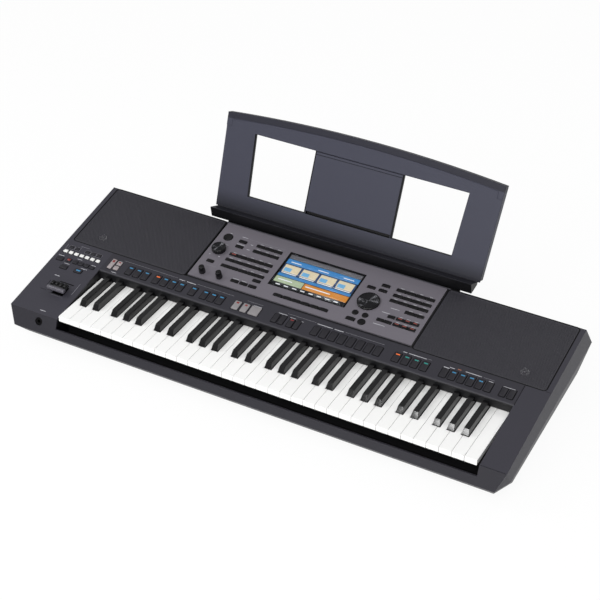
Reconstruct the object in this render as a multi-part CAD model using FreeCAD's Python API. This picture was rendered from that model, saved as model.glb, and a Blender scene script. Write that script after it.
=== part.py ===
import FreeCAD, Part
import math
import os
from collections import namedtuple

Vector = FreeCAD.Vector

# Overall form, in millimetres and degrees: a wedge whose sides lean out down to a waist line
WIDTH = 1017.0
SIDE_FLARE = 3.0
CREASE_HEIGHT = 71.6
TOP_SLOPE = 10.26
TOP_LENGTH = 362.4
WAIST_FRONT_OUT = 13.6
WAIST_REAR_OUT = 33.4
WAIST_FRONT_HEIGHT = 37.0
WAIST_SLOPE = 7.1
CORNER_IN = 14.0
CORNER_BACK = 32.0
FOOT_HEIGHT = 8.0
TUB_FRONT_LEAN = 43.0
TUB_CORNER_LEAN = 34.0
TUB_SIDE_LEAN = 14.0
CASE_WALL = 3.0
PANEL_THICKNESS = 3.0

# Keyboard: 61 full-size keys, 36 of them white
STANDARD_OCTAVE = 165.0
OCTAVE_SPAN = 165.0
WHITE_COUNT = 36
KEY_GAP = 0.8
KEYS_LEFT = -397.4
KEY_FRONT = 2.7
KEY_TOP = 77.9
KEY_HEIGHT = 11.0
KEY_WALL = 2.0
KEY_VISIBLE = 139.8
KEY_TAIL = 68.5
HINGE_BEHIND_WALL = 62.5
HINGE_HEIGHT = 68.0
HINGE_RADIUS = 3.0
HINGE_CLEARANCE = 0.4
HINGE_BLOCK_LENGTH = 15.0
HINGE_BLOCK_DEPTH = 5.0
KEY_DIP_ANGLE = 3.0
BLACK_WIDTH = 13.7
BLACK_LENGTH = 91.0
BLACK_RISE = 11.5
BLACK_TAPER = 1.7
BLACK_NOSE = 6.0
BLACK_CHIN = 1.0
BLACK_CLEARANCE = 1.0
LEFT_CHEEK_CLEARANCE = 1.8
RIGHT_CHEEK_CLEARANCE = 5.3
FRONT_RAIL_DROP = 19.0
WALL_CLEARANCE = 1.8

# Key bed
FRAME_TOP = 52.0
FRAME_SHEET = 2.0
FRAME_FRONT_INSET = 16.0
FRAME_REAR_EXTRA = 9.0
FRAME_WEB_INSET = 10.0
HINGE_NECK = 3.0
FELT_HEIGHT = 5.0
FELT_LENGTH = 16.0
FELT_INSET = 20.0
CONTACT_BOARD_START = 80.0
CONTACT_BOARD_LENGTH = 44.0
BOARD_THICKNESS = 1.6
CONTACT_RUBBER_HEIGHT = 6.0
CONTACT_RUBBER_LENGTH = 12.0
SPRING_SHEET = 0.5
SPRING_WIDTH = OCTAVE_SPAN / 41
SPRING_START = 148.0
SPRING_RUN = 32.0
SPRING_RISE = 20.0

# Top layout, measured up the slope from the front crease
SEAM_GAP = 0.5
STRIP_REAR = 197.5
STRIP_ROUNDING = 5.0
CENTRE_HALF_WIDTH = 235.0
CENTRE_FRONT = 203.5
CENTRE_REAR = TOP_LENGTH - 2.4
CENTRE_GAP = 5.0
LEDGE_LAP = 4.0
GRILLE_OUTER = 494.0
GRILLE_REAR = TOP_LENGTH - 1.9
GRILLE_SHEET = 1.5
GRILLE_RIM = 3.0
GRILLE_DEPTH = 6.0
FIT_GAP = 0.4
TRAY_LAP = 7.0
TRAY_RIM = 5.0
TRAY_FLOOR = 3.0

# Speakers
WOOFER_U = 352.0
WOOFER_V = 285.0
WOOFER_RADIUS = 52.0
WOOFER_DEPTH = 52.0
TWEETER_U = 446.8
TWEETER_V = 246.0
TWEETER_RADIUS = 9.5
TWEETER_DEPTH = 16.0
SPEAKER_FLANGE = 2.0
SPEAKER_LIP = 4.0
MAGNET_SHARE = 0.55
CONE_MOUTH_SHARE = 0.9
CONE_THROAT_SHARE = 0.3
CONE_DEPTH_SHARE = 0.4

# Screen
SCREEN_HALF_WIDTH = 80.5
SCREEN_FRONT = 241.0
SCREEN_REAR = 333.5
GLASS_THICKNESS = 2.0
GLASS_PROUD = 0.3
LCD_INSET = 2.0
BOARD_DROP = 9.0
BOSS_RADIUS = 2.5
BOSS_LAP = 0.5

# Buttons: rows of caps, placed by the centre of the first cap
BUTTON_PROUD = 1.4
BUTTON_DEPTH = 6.0
BUTTON_TRAVEL = 1.0
BUTTON_FIT = 0.4
SHARED_SLOT_GAP = 2.0
STRIP_ROW = 166.5
STRIP_CAP = 22.0
BAR_CAP = 7.0
BAR_SINGLE = 16.5
Row = namedtuple("Row", "u v pitch count width length")
BUTTON_ROWS = {
    "style_buttons": [
        Row(-342.5, STRIP_ROW, 18.0, 3, 12.0, STRIP_CAP),
        Row(-281.6, STRIP_ROW, 17.8, 4, 12.0, STRIP_CAP),
        Row(-200.9, STRIP_ROW, 0.0, 1, 12.0, STRIP_CAP),
        Row(-175.3, STRIP_ROW, 17.2, 3, 12.0, STRIP_CAP),
    ],
    "playback_buttons": [
        Row(-106.3, STRIP_ROW, 18.0, 2, 13.0, STRIP_CAP),
        Row(-67.4, STRIP_ROW, 0.0, 1, 20.0, STRIP_CAP),
        Row(-23.0, STRIP_ROW, 13.8, 2, 10.0, STRIP_CAP),
        Row(8.6, STRIP_ROW, 12.8, 2, 10.0, STRIP_CAP),
    ],
    "memory_buttons": [Row(59.9, STRIP_ROW, 18.1, 8, 12.5, STRIP_CAP)],
    "setup_buttons": [Row(223.8, STRIP_ROW, 18.3, 4, 12.5, STRIP_CAP)],
    "pad_buttons": [Row(316.1, STRIP_ROW, 17.0, 6, 12.0, STRIP_CAP)],
    "transpose_buttons": [Row(429.1, STRIP_ROW, 15.0, 2, 10.5, STRIP_CAP)],
    "tempo_pads": [
        Row(-385.0, 169.0, 0.0, 1, 9.0, 26.0),
        Row(-371.7, 175.0, 0.0, 1, 10.0, 10.0),
        Row(-371.7, 162.0, 0.0, 1, 10.0, 10.0),
    ],
    "cheek_buttons": [
        Row(-485.1, 178.0, 13.6, 2, 9.5, 7.0),
        Row(-447.7, 178.0, 13.3, 3, 9.5, 7.0),
        Row(-488.5, 142.0, 0.0, 1, 14.0, 9.0),
        Row(-469.6, 144.5, 0.0, 1, 10.0, 8.0),
        Row(-454.2, 144.5, 12.8, 4, 9.5, 8.0),
        Row(-468.1, 124.5, 0.0, 1, 15.0, 9.0),
        Row(-435.5, 125.5, 0.0, 1, 16.0, 9.0),
    ],
    "white_buttons": [Row(-490.0, 164.3, 12.47, 7, 9.5, 8.0)],
    "menu_buttons": [
        Row(-180.5, 322.7, 0.0, 1, BAR_SINGLE, BAR_CAP),
        Row(-180.5, 308.0, 0.0, 1, BAR_SINGLE, BAR_CAP),
        Row(-141.4, 323.6, 18.85, 3, 18.05, BAR_CAP),
        Row(-141.4, 308.5, 18.85, 3, 18.05, BAR_CAP),
        Row(-179.1, 284.0, 18.85, 5, 18.05, BAR_CAP),
        Row(-179.1, 268.3, 18.85, 5, 18.05, BAR_CAP),
        Row(-179.1, 250.7, 18.85, 2, 18.05, BAR_CAP),
        Row(-141.4, 250.7, 18.85, 3, 18.05, BAR_CAP),
        Row(-141.8, 221.4, 19.2, 3, BAR_SINGLE, BAR_CAP),
        Row(-103.4, 237.7, 0.0, 1, BAR_SINGLE, BAR_CAP),
        Row(-213.0, 251.6, 0.0, 1, 15.0, BAR_CAP),
    ],
    "screen_buttons": [
        Row(-48.1, 220.6, 19.25, 6, 18.45, BAR_CAP),
        Row(103.6, 308.2, 23.8, 2, BAR_SINGLE, BAR_CAP),
        Row(127.4, 322.3, 0.0, 1, BAR_SINGLE, BAR_CAP),
        Row(104.3, 220.1, 0.0, 1, 18.0, 8.0),
    ],
    "voice_buttons": [
        Row(159.1, 321.3, 19.45, 4, 18.65, BAR_CAP),
        Row(159.1, 306.2, 19.45, 4, 18.65, BAR_CAP),
        Row(159.1, 291.8, 19.45, 4, 18.65, BAR_CAP),
        Row(198.0, 274.4, 19.45, 2, 18.65, BAR_CAP),
        Row(171.7, 252.9, 0.0, 1, 14.4, BAR_CAP),
        Row(156.1, 238.4, 15.4, 2, 14.4, BAR_CAP),
        Row(188.7, 252.9, 15.4, 3, 14.6, BAR_CAP),
        Row(188.7, 238.4, 15.4, 3, 14.6, BAR_CAP),
    ],
}
CENTRE_CLUSTERS = ("menu_buttons", "screen_buttons", "voice_buttons")
CHEEK_CLUSTERS = ("cheek_buttons", "white_buttons")
CURSOR_U = 105.2
CURSOR_V = 238.0
CURSOR_PITCH = 20.2
CURSOR_RADIUS = 6.0
ENTER_U = 126.7
ENTER_V = 220.3
ENTER_RADIUS = 7.5
POWER_U = -214.2
POWER_V = 323.3
POWER_RADIUS = 9.5
POWER_DISH = 1.0

# Circuit boards under the top (left, right, front and rear edge) and the pegs that hold them
PANEL_BOARDS = ((-499.0, -404.0, 115.0, 189.0), (-392.0, 452.0, 152.0, 188.0),
                (-226.0, 226.0, 210.0, 350.0))
CHEEK_BOSSES = ((-496.0, 131.0), (-408.0, 131.0), (-408.0, 186.0))
STRIP_BOSSES = ((-356.0, 184.0), (-125.0, 184.0), (40.0, 184.0), (210.0, 184.0), (414.0, 184.0))
CENTRE_BOSSES = ((-160.0, 345.0), (-160.0, 233.0), (140.0, 345.0), (140.0, 229.0))

# Dials and knobs
SHAFT_RADIUS = 3.0
SHAFT_FIT = 0.3
KNOB_LIFT = 0.5
VOLUME_U = -213.0
VOLUME_V = 285.5
VOLUME_RADIUS = 14.0
VOLUME_HEIGHT = 9.0
KNOB_U = (-211.2, -173.8)
KNOB_V = 218.5
KNOB_RADIUS = 6.5
KNOB_TOP_RADIUS = 5.4
KNOB_HEIGHT = 16.0
DATA_U = 115.6
DATA_V = 272.0
DATA_RADIUS = 21.8
DATA_HEIGHT = 4.0
DATA_RIM = 2.5
DATA_SUNK = 0.6
DIMPLE_RADIUS = 7.5
DIMPLE_OFFSET = 10.5
DIMPLE_FLOOR = 4.0
DIMPLE_DEPTH = 1.4
POT_SIDE = 12.0
POT_HEIGHT = 3.6
COLLAR = 1.5

# Joystick
STICK_U = -437.6
STICK_V = 66.2
STICK_OPENING = (26.0, 26.0)
STICK_TRAY_DEPTH = 16.0
STICK_TRAY_WALL = 2.0
STICK_TRAY_HOLE = 24.0
PADDLE_WIDTH = 41.0
ROLL_RADIUS = 4.5
ROLL_FORWARD = 4.5
ROLL_CENTRE = 12.5
SADDLE_BACK = 10.0
SADDLE_TOP = 13.0
GRIP_RIBS = 4
GRIP_RIB = (6.0, 10.0, 2.5)
GRIP_PITCH = 9.5
PADDLE_FLOOR = 8.5
STEM_SIDE = 8.0
PIVOT_DROP = 27.0
STEM_BELOW = 6.0
GIMBAL_OUTER = 28.0
GIMBAL_INNER = 18.0
GIMBAL_HEIGHT = 8.0
PIN_RADIUS = 2.0
PIN_FIT = 0.2
EAR_THICKNESS = 3.0
EAR_GAP = 1.0
EAR_REACH = 6.0
BASE_LAP = 4.0
STICK_BASE_SHEET = 2.0
STICK_PITCH = 12.0
STICK_ROLL = 12.0

# Music rest
REST_LEAN = 23.4
REST_BEHIND_EDGE = 31.8
REST_ABOVE_EDGE = 8.6
REST_HALF_BOTTOM = 284.0
REST_HALF_TOP = 293.0
REST_HEIGHT = 186.7
REST_ARCH = 14.0
REST_SHEET = 3.5
REST_RIM_DEPTH = 15.0
REST_RIM = 3.0
REST_BAND = 12.0
REST_BAND_PROUD = 1.2
REST_RECESS = 1.2
SLOT_HEIGHT = 5.5
SLOT_DEPTH = 8.0
SLOT_WALL = 3.0
WINDOW_INNER = 93.0
WINDOW_OUTER_BOTTOM = 219.0
WINDOW_OUTER_TOP = 227.0
WINDOW_BOTTOM = 33.0
WINDOW_TOP = 157.0
LEDGE_HALF = 279.0
LEDGE_DEPTH = 32.0
LIP_DROP = 20.0
LIP_UNDERCUT = 13.0
LEDGE_HEEL = 6.0
SKIRT_HALF = 250.0
SKIRT_DROP = 30.0
TAB_U = 150.0
TAB_WIDTH = 60.0
TAB_THICKNESS = 5.0
TAB_LENGTH = 56.0
TAB_FIT = 0.5
SOCKET_WALL = 2.0
SOCKET_DEPTH = 40.0

# Rear connectors, along X and up from the floor
REAR_HALF = 470.0
REAR_BOTTOM = 22.0
REAR_SEAMS = (-60.0, 40.0)
SEAM_GAP = 0.4
JACK_U = (-330.0, -295.0, -240.0, -205.0)
JACK_HEIGHT = 52.0
JACK_BORE = 3.2
JACK_BUSH = 5.0
JACK_BODY = (16.0, 26.0, 14.0)
JACK_PROUD = 3.0
MIDI_U = (-120.0, -85.0)
MIDI_RADIUS = 8.0
MIDI_BORE = 6.5
MIDI_DEPTH = 14.0
USB_U = (-30.0, 5.0)
USB_SIZE = ((13.0, 12.0), (14.0, 7.0))
USB_DEPTH = 16.0
USB_SHELL = 0.8
INLET_U = 230.0
INLET_SIZE = (14.0, 12.0)
INLET_BORE = 3.0
INLET_DEPTH = 14.0
INLET_NOSE = 5.5
PHONES_U = -438.7
PHONES_DROP = 15.5
PHONES_FLANGE = 8.0
PHONES_BORE_DEPTH = 24.0
JACK_RECESS = 1.0
CONNECTOR_FIT = 0.3
SOCKET_BODY = 2.0

# Boards inside, feet and screws
MAIN_BOARD = (-350.0, 60.0, 250.0, 366.0)
SUPPLY_BOARD = (180.0, 290.0, 300.0, 366.0)
STANDOFF_HEIGHT = 6.0
STANDOFF_INSET = 8.0
CHIP_HEIGHT = 3.0
CHIP_SIZE = (32.0, 24.0)
SINK_HEIGHT = 22.0
FOOT_RADIUS = 11.0
FOOT_TAPER = 1.5
FOOT_POSITIONS = ((-430.0, 60.0), (430.0, 60.0), (-430.0, 360.0), (430.0, 360.0),
                  (0.0, 60.0), (0.0, 360.0))
SCREW_RADIUS = 3.5
SCREW_HEAD = 2.0
SCREW_SHANK = 1.5
SCREW_LENGTH = 12.0
SCREW_POST = 4.5
SCREW_FIT = 0.2
SCREW_POSITIONS = ((-465.0, 110.0), (-465.0, 300.0), (465.0, 110.0), (465.0, 300.0),
                   (-200.0, 60.0), (200.0, 60.0), (-200.0, 378.0), (200.0, 378.0))

# Worked-out sizes
SLOPE = math.radians(TOP_SLOPE)
TOP_HALF = WIDTH / 2 - SIDE_FLARE
REAR_TOP_Y = TOP_LENGTH * math.cos(SLOPE)
REAR_TOP_Z = CREASE_HEIGHT + TOP_LENGTH * math.sin(SLOPE)
REAR_Y = REAR_TOP_Y + WAIST_REAR_OUT
PITCH = OCTAVE_SPAN / 7
KEYS_RIGHT = KEYS_LEFT + WHITE_COUNT * PITCH
LEFT_CHEEK_EDGE = KEYS_LEFT - LEFT_CHEEK_CLEARANCE
RIGHT_CHEEK_EDGE = KEYS_RIGHT + RIGHT_CHEEK_CLEARANCE
WALL_Y = KEY_FRONT + KEY_VISIBLE
HINGE_Y = WALL_Y + HINGE_BEHIND_WALL
KEY_END = WALL_Y + KEY_TAIL
BLACK_FRONT = WALL_Y - BLACK_LENGTH
KEY_BOTTOM = KEY_TOP - KEY_HEIGHT
REST_Y = REAR_TOP_Y + REST_BEHIND_EDGE
REST_Z = REAR_TOP_Z + REST_ABOVE_EDGE
FLOOR_TOP = FOOT_HEIGHT + CASE_WALL

# Longer than any cut through a panel, and longer than the whole part
REACH = 100.0
FAR = 2000.0

# Where the middle of the whole depth, rest included, lies behind the front crease
REST_BACK_Y = (REST_Y + math.sin(math.radians(REST_LEAN)) * (REST_HEIGHT + REST_ARCH)
               + math.cos(math.radians(REST_LEAN)) * REST_RIM_DEPTH)
MIDDLE_Y = (REST_BACK_Y - WAIST_FRONT_OUT) / 2

# Names of the twelve notes, and where each black key stands between its white neighbours
WHITE_NAMES = ("c", "d", "e", "f", "g", "a", "b")
BLACK_AFTER = {"c": "c_sharp", "d": "d_sharp", "f": "f_sharp", "g": "g_sharp", "a": "a_sharp"}


def block(x0, x1, y0, y1, z0, z1):
    """A box between two corners."""
    return Part.makeBox(x1 - x0, y1 - y0, z1 - z0, Vector(x0, y0, z0))


def face_of(points):
    """A flat face through the given corners."""
    corners = [Vector(*point) for point in points]
    return Part.Face(Part.makePolygon(corners + corners[:1]))


def side_bar(profile, x0, x1):
    """A side profile of (y, z) points carried along X."""
    return face_of([(x0, y, z) for y, z in profile]).extrude(Vector(x1 - x0, 0, 0))


def cylinder(radius, height, base, axis=(0, 0, 1)):
    """A round bar from a base point along an axis."""
    return Part.makeCylinder(radius, height, Vector(*base), Vector(*axis))


def turned(profile, base=(0, 0, 0)):
    """A profile of (radius, height) points spun about Z and moved to its base."""
    spun = face_of([(radius, 0, height) for radius, height in profile]).revolve(
        Vector(0, 0, 0), Vector(0, 0, 1), 360)
    spun.translate(Vector(*base))
    return spun


def join(shapes):
    """One solid from several that touch."""
    whole = shapes[0].fuse(shapes[1:]) if len(shapes) > 1 else shapes[0]
    return whole.removeSplitter()


def carve(shape, tools):
    """A shape with all the tools cut out of it."""
    return shape.cut(tools).removeSplitter() if tools else shape


def on_panel(shape):
    """Carry a shape from the panel frame (u, v, w) on to the sloping top."""
    moved = shape.copy()
    moved.Placement = FreeCAD.Placement(
        Vector(0, 0, CREASE_HEIGHT), FreeCAD.Rotation(Vector(1, 0, 0), TOP_SLOPE)).multiply(moved.Placement)
    return moved


def on_rest(shape):
    """Carry a shape from the rest frame (across, towards the player, up the plate) to its place."""
    moved = shape.copy()
    moved.Placement = FreeCAD.Placement(
        Vector(0, REST_Y, REST_Z), FreeCAD.Rotation(Vector(1, 0, 0), -REST_LEAN)).multiply(moved.Placement)
    return moved


def waist_height(y):
    """Height of the waist line, where the case is widest, at a depth y."""
    return WAIST_FRONT_HEIGHT + (y + WAIST_FRONT_OUT) * math.tan(math.radians(WAIST_SLOPE))


def below_top(y, z):
    """Distance of a point below the sloping top plane."""
    return (CREASE_HEIGHT + y * math.tan(SLOPE) - z) * math.cos(SLOPE)


def corner_points():
    """Named corners of the right half: top edge and waist line."""
    corner_y = CORNER_BACK - WAIST_FRONT_OUT
    corner_z = waist_height(corner_y)
    rear_z = waist_height(REAR_Y)
    corner_x = TOP_HALF + SIDE_FLARE * below_top(corner_y, corner_z) / below_top(REAR_Y, rear_z)
    waist_front_x = TOP_HALF - CORNER_IN
    return {
        "top_front": (TOP_HALF, 0.0, CREASE_HEIGHT),
        "top_rear": (TOP_HALF, REAR_TOP_Y, REAR_TOP_Z),
        "waist_front": (waist_front_x, -WAIST_FRONT_OUT, WAIST_FRONT_HEIGHT),
        "waist_corner": (corner_x, corner_y, corner_z),
        "waist_rear": (WIDTH / 2, REAR_Y, rear_z),
    }


def mirrored(point):
    """The same corner on the left half."""
    return (-point[0], point[1], point[2])


def both_sides(names):
    """A closed loop of corners: the named right-hand ones, then their left-hand mirrors."""
    corners = corner_points()
    right = [corners[name] for name in names]
    return right + [mirrored(point) for point in reversed(right)]


def envelope():
    """The solid space of the upper case between the waist line and the sloping top."""
    corners = corner_points()
    faces = [face_of(both_sides(("top_front", "top_rear"))),
             face_of(both_sides(("top_front", "waist_front"))),
             face_of(both_sides(("top_rear", "waist_rear"))),
             face_of(both_sides(("waist_front", "waist_corner", "waist_rear")))]
    for turn in (lambda point: point, mirrored):
        faces.append(face_of([turn(corners[n]) for n in ("top_front", "waist_front", "waist_corner")]))
        faces.append(face_of(
            [turn(corners[n]) for n in ("top_front", "waist_corner", "waist_rear", "top_rear")]))
    return Part.makeSolid(Part.makeShell(faces))


def wall_slab(points, thickness):
    """A wall of even thickness behind an outer face, towards the middle of the case."""
    face = face_of(points)
    inward = face.normalAt(0, 0)
    middle = Vector(0, REAR_TOP_Y / 2, FLOOR_TOP)
    if inward.dot(middle - face.CenterOfMass) < 0:
        inward = -inward
    return face.extrude(inward * thickness)


def leaning_plane(start, end, lean):
    """A plane through two waist corners that leans in going down: its outward normal and a point on it."""
    along = Vector(*end) - Vector(*start)
    outward = Vector(along.y, -along.x, 0).normalize()
    angle = math.radians(lean)
    down = Vector(0, 0, -math.cos(angle)) - outward * math.sin(angle)
    return down.cross(along).normalize(), Vector(*start)


def meeting_point(planes, inset):
    """The corner where three planes meet, after each has moved inwards by its inset."""
    normals = [normal for normal, _ in planes]
    reaches = [normal.dot(point) - step for (normal, point), step in zip(planes, inset)]
    crosses = [normals[i - 2].cross(normals[i - 1]) for i in range(3)]
    total = crosses[0] * reaches[0] + crosses[1] * reaches[1] + crosses[2] * reaches[2]
    return total * (1 / normals[0].dot(crosses[0]))


def tub_space(wall):
    """The space below the waist line, drawn in by a wall on all sides and at the bottom."""
    waist = both_sides(("waist_front", "waist_corner", "waist_rear"))
    leans = (TUB_CORNER_LEAN, TUB_SIDE_LEAN, 0.0, TUB_SIDE_LEAN, TUB_CORNER_LEAN, TUB_FRONT_LEAN)
    sides = [leaning_plane(waist[i], waist[(i + 1) % 6], lean) for i, lean in enumerate(leans)]
    slope = math.radians(WAIST_SLOPE)
    top = (Vector(0, -math.sin(slope), math.cos(slope)), Vector(*waist[0]))
    bottom = (Vector(0, 0, -1), Vector(0, 0, FOOT_HEIGHT))
    upper, lower = [[meeting_point((sides[i - 1], sides[i], end), (wall, wall, step)) for i in range(6)]
                    for end, step in ((top, 0.0), (bottom, wall))]
    faces = [face_of(upper), face_of(lower)]
    faces += [face_of((upper[i - 1], upper[i], lower[i], lower[i - 1])) for i in range(6)]
    return Part.makeSolid(Part.makeShell(faces))


def make_tub():
    """The open lower shell, its rear wall cut away for the rear panel."""
    rear_gap = block(-REAR_HALF, REAR_HALF, REAR_Y - CASE_WALL, REAR_Y + CASE_WALL, REAR_BOTTOM, REAR_TOP_Z)
    return carve(tub_space(0.0), [tub_space(CASE_WALL), rear_gap])


def board_corners(board):
    """The four fixing points of a board given as (x0, x1, y0, y1)."""
    x0, x1, y0, y1 = board
    inset = STANDOFF_INSET
    return [(x, y) for x in (x0 + inset, x1 - inset) for y in (y0 + inset, y1 - inset)]


def make_end_rails():
    """The two end caps: a leaning side face and the bevel at the front corner."""
    corners = corner_points()
    space = envelope()
    rails = {}
    for name, turn in (("right_end_rail", lambda point: point), ("left_end_rail", mirrored)):
        side = wall_slab([turn(corners[n]) for n in ("top_front", "waist_corner", "waist_rear", "top_rear")],
                         CASE_WALL)
        bevel = wall_slab([turn(corners[n]) for n in ("top_front", "waist_front", "waist_corner")], CASE_WALL)
        rails[name] = join([side, bevel]).common(space)
    return rails


def phones_place():
    """Centre and outward direction of the headphone socket on the leaning front face."""
    drop = math.hypot(WAIST_FRONT_OUT, CREASE_HEIGHT - WAIST_FRONT_HEIGHT)
    down = Vector(0, -WAIST_FRONT_OUT / drop, -(CREASE_HEIGHT - WAIST_FRONT_HEIGHT) / drop)
    centre = Vector(PHONES_U, 0, CREASE_HEIGHT) + down * PHONES_DROP
    return centre, Vector(0, down.z, -down.y)


def make_phones_jack():
    """The headphone socket: a flange and bush in the front face, a body behind it."""
    centre, outward = phones_place()
    length = JACK_BODY[1]
    flange = Part.makeCylinder(PHONES_FLANGE - CONNECTOR_FIT, CASE_WALL - JACK_RECESS,
                               centre - outward * CASE_WALL, outward)
    body = Part.makeCylinder(PHONES_FLANGE - SOCKET_BODY, length,
                             centre - outward * (CASE_WALL + length), outward)
    bore = Part.makeCylinder(JACK_BORE, PHONES_BORE_DEPTH,
                             centre - outward * (PHONES_BORE_DEPTH + JACK_RECESS), outward)
    return carve(join([flange, body]), [bore])


def case_screw(x, y, grow):
    """A case screw from below, grown by a fit when it serves as the tool for its own hole."""
    head = SCREW_RADIUS + grow
    shank = SCREW_SHANK + grow
    tip = SCREW_HEAD + SCREW_LENGTH
    return turned([(0, 0), (head, 0), (head, SCREW_HEAD), (shank, SCREW_HEAD), (shank, tip), (0, tip)],
                  (x, y, FOOT_HEIGHT))


def make_lower_case(tub, rails):
    """The bottom tub with the leaning front apron, board posts and screw seats."""
    apron = wall_slab(both_sides(("top_front", "waist_front")), CASE_WALL)
    rail_cut = block(LEFT_CHEEK_EDGE, RIGHT_CHEEK_EDGE, -WIDTH, WIDTH, CREASE_HEIGHT - FRONT_RAIL_DROP, FAR)
    centre, outward = phones_place()
    phones_hole = Part.makeCylinder(PHONES_FLANGE, 4 * CASE_WALL, centre - outward * 2 * CASE_WALL, outward)
    apron = carve(apron, [rail_cut, phones_hole] + list(rails.values()))
    posts = [cylinder(BOSS_RADIUS, STANDOFF_HEIGHT, (x, y, FLOOR_TOP))
             for board in (MAIN_BOARD, SUPPLY_BOARD) for x, y in board_corners(board)]
    posts += [cylinder(SCREW_POST, SCREW_LENGTH, (x, y, FLOOR_TOP)) for x, y in SCREW_POSITIONS]
    seats = [case_screw(x, y, SCREW_FIT) for x, y in SCREW_POSITIONS]
    return carve(join([tub, apron] + posts), seats)


def rest_tabs(extra):
    """The two tabs under the rest, grown on every side by a fit."""
    half = TAB_WIDTH / 2 + extra
    return [on_rest(block(side * TAB_U - half, side * TAB_U + half, REST_SHEET - extra,
                          REST_SHEET + TAB_THICKNESS + extra, -TAB_LENGTH - extra, -LEDGE_HEEL))
            for side in (-1, 1)]


def connector_holes():
    """Tools that open the rear panel for each connector."""
    y0 = REAR_Y - 2 * CASE_WALL
    deep = 4 * CASE_WALL
    holes = [cylinder(JACK_BUSH + CONNECTOR_FIT, deep, (u, y0, JACK_HEIGHT), (0, 1, 0)) for u in JACK_U]
    holes += [cylinder(MIDI_RADIUS + CONNECTOR_FIT, deep, (u, y0, JACK_HEIGHT), (0, 1, 0)) for u in MIDI_U]
    holes.append(cylinder(INLET_NOSE + CONNECTOR_FIT, deep, (INLET_U, y0, JACK_HEIGHT), (0, 1, 0)))
    for u, (wide, high) in zip(USB_U, USB_SIZE):
        holes.append(block(u - wide / 2 - CONNECTOR_FIT, u + wide / 2 + CONNECTOR_FIT, y0, y0 + deep,
                           JACK_HEIGHT - high / 2 - CONNECTOR_FIT, JACK_HEIGHT + high / 2 + CONNECTOR_FIT))
    return holes


def make_rear_panel(rails):
    """The rear cover in three sections: a leaning upper face with rest sockets, then an upright field."""
    upper = wall_slab(both_sides(("top_rear", "waist_rear")), CASE_WALL)
    upright = block(-REAR_HALF, REAR_HALF, REAR_Y - CASE_WALL, REAR_Y, REAR_BOTTOM, waist_height(REAR_Y))
    sockets = []
    for side in (-1, 1):
        half = TAB_WIDTH / 2 + TAB_FIT + SOCKET_WALL
        near = REST_SHEET - TAB_FIT - SOCKET_WALL
        far = REST_SHEET + TAB_THICKNESS + TAB_FIT + SOCKET_WALL
        sockets.append(on_rest(block(side * TAB_U - half, side * TAB_U + half, near, far,
                                     -TAB_LENGTH - TAB_FIT - SOCKET_WALL, -TAB_LENGTH + SOCKET_DEPTH)))
    space = envelope()
    shell = join([upper.common(space), upright] + [socket.common(space) for socket in sockets])
    bay = on_panel(block(-GRILLE_OUTER - FIT_GAP, GRILLE_OUTER + FIT_GAP, CENTRE_FRONT, GRILLE_REAR + FIT_GAP,
                         -GRILLE_DEPTH, REACH))
    seams = [block(u - SEAM_GAP / 2, u + SEAM_GAP / 2, 0, 2 * REAR_Y, 0, 2 * REAR_TOP_Z) for u in REAR_SEAMS]
    return carve(shell, rest_tabs(TAB_FIT) + connector_holes() + seams + [bay] + list(rails.values()))


def beside_keys(u):
    """A place along the strip, which spreads with the keys if their octave isn't the standard one."""
    return KEYS_LEFT + (u - KEYS_LEFT) * OCTAVE_SPAN / STANDARD_OCTAVE


def cluster_rows(name):
    """The rows of one cluster, spread along the strip if that is where it stands."""
    if name in CENTRE_CLUSTERS + CHEEK_CLUSTERS:
        return BUTTON_ROWS[name]
    return [row._replace(u=beside_keys(row.u), pitch=row.pitch * OCTAVE_SPAN / STANDARD_OCTAVE)
            for row in BUTTON_ROWS[name]]


def button_boxes(rows, bottom, top, grow):
    """One box for each cap of a cluster, grown by a fit on each side, in the panel frame."""
    boxes = []
    for row in rows:
        for index in range(row.count):
            u = row.u + index * row.pitch
            boxes.append(block(u - row.width / 2 - grow, u + row.width / 2 + grow,
                               row.v - row.length / 2 - grow, row.v + row.length / 2 + grow, bottom, top))
    return boxes


def button_slots(rows):
    """Panel openings: one for each cap, or one for a whole row of caps that stand close."""
    slots = []
    for row in rows:
        if row.count > 1 and row.pitch - row.width < SHARED_SLOT_GAP:
            length = row.width + (row.count - 1) * row.pitch
            middle = row.u + (row.count - 1) * row.pitch / 2
            slots += button_boxes([Row(middle, row.v, 0.0, 1, length, row.length)], -REACH, REACH, BUTTON_FIT)
        else:
            slots += button_boxes([row], -REACH, REACH, BUTTON_FIT)
    return slots


def round_buttons():
    """Centres and radii of the three round caps under the data dial."""
    return [(CURSOR_U, CURSOR_V, CURSOR_RADIUS), (CURSOR_U + CURSOR_PITCH, CURSOR_V, CURSOR_RADIUS),
            (ENTER_U, ENTER_V, ENTER_RADIUS)]


def make_buttons():
    """Each cluster of push buttons as one group of separate caps."""
    clusters = {}
    for name in BUTTON_ROWS:
        caps = button_boxes(cluster_rows(name), -BUTTON_DEPTH, BUTTON_PROUD, 0.0)
        if name == "screen_buttons":
            caps += [cylinder(radius, BUTTON_DEPTH + BUTTON_PROUD, (u, v, -BUTTON_DEPTH))
                     for u, v, radius in round_buttons()]
        clusters[name] = on_panel(Part.makeCompound(caps))
    dish = BUTTON_PROUD - POWER_DISH
    power = turned([(0, -BUTTON_DEPTH), (POWER_RADIUS, -BUTTON_DEPTH), (POWER_RADIUS, BUTTON_PROUD),
                    (POWER_RADIUS - COLLAR, BUTTON_PROUD), (POWER_RADIUS - 2 * COLLAR, dish), (0, dish)],
                   (POWER_U, POWER_V, 0))
    clusters["power_button"] = on_panel(power)
    return clusters


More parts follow.
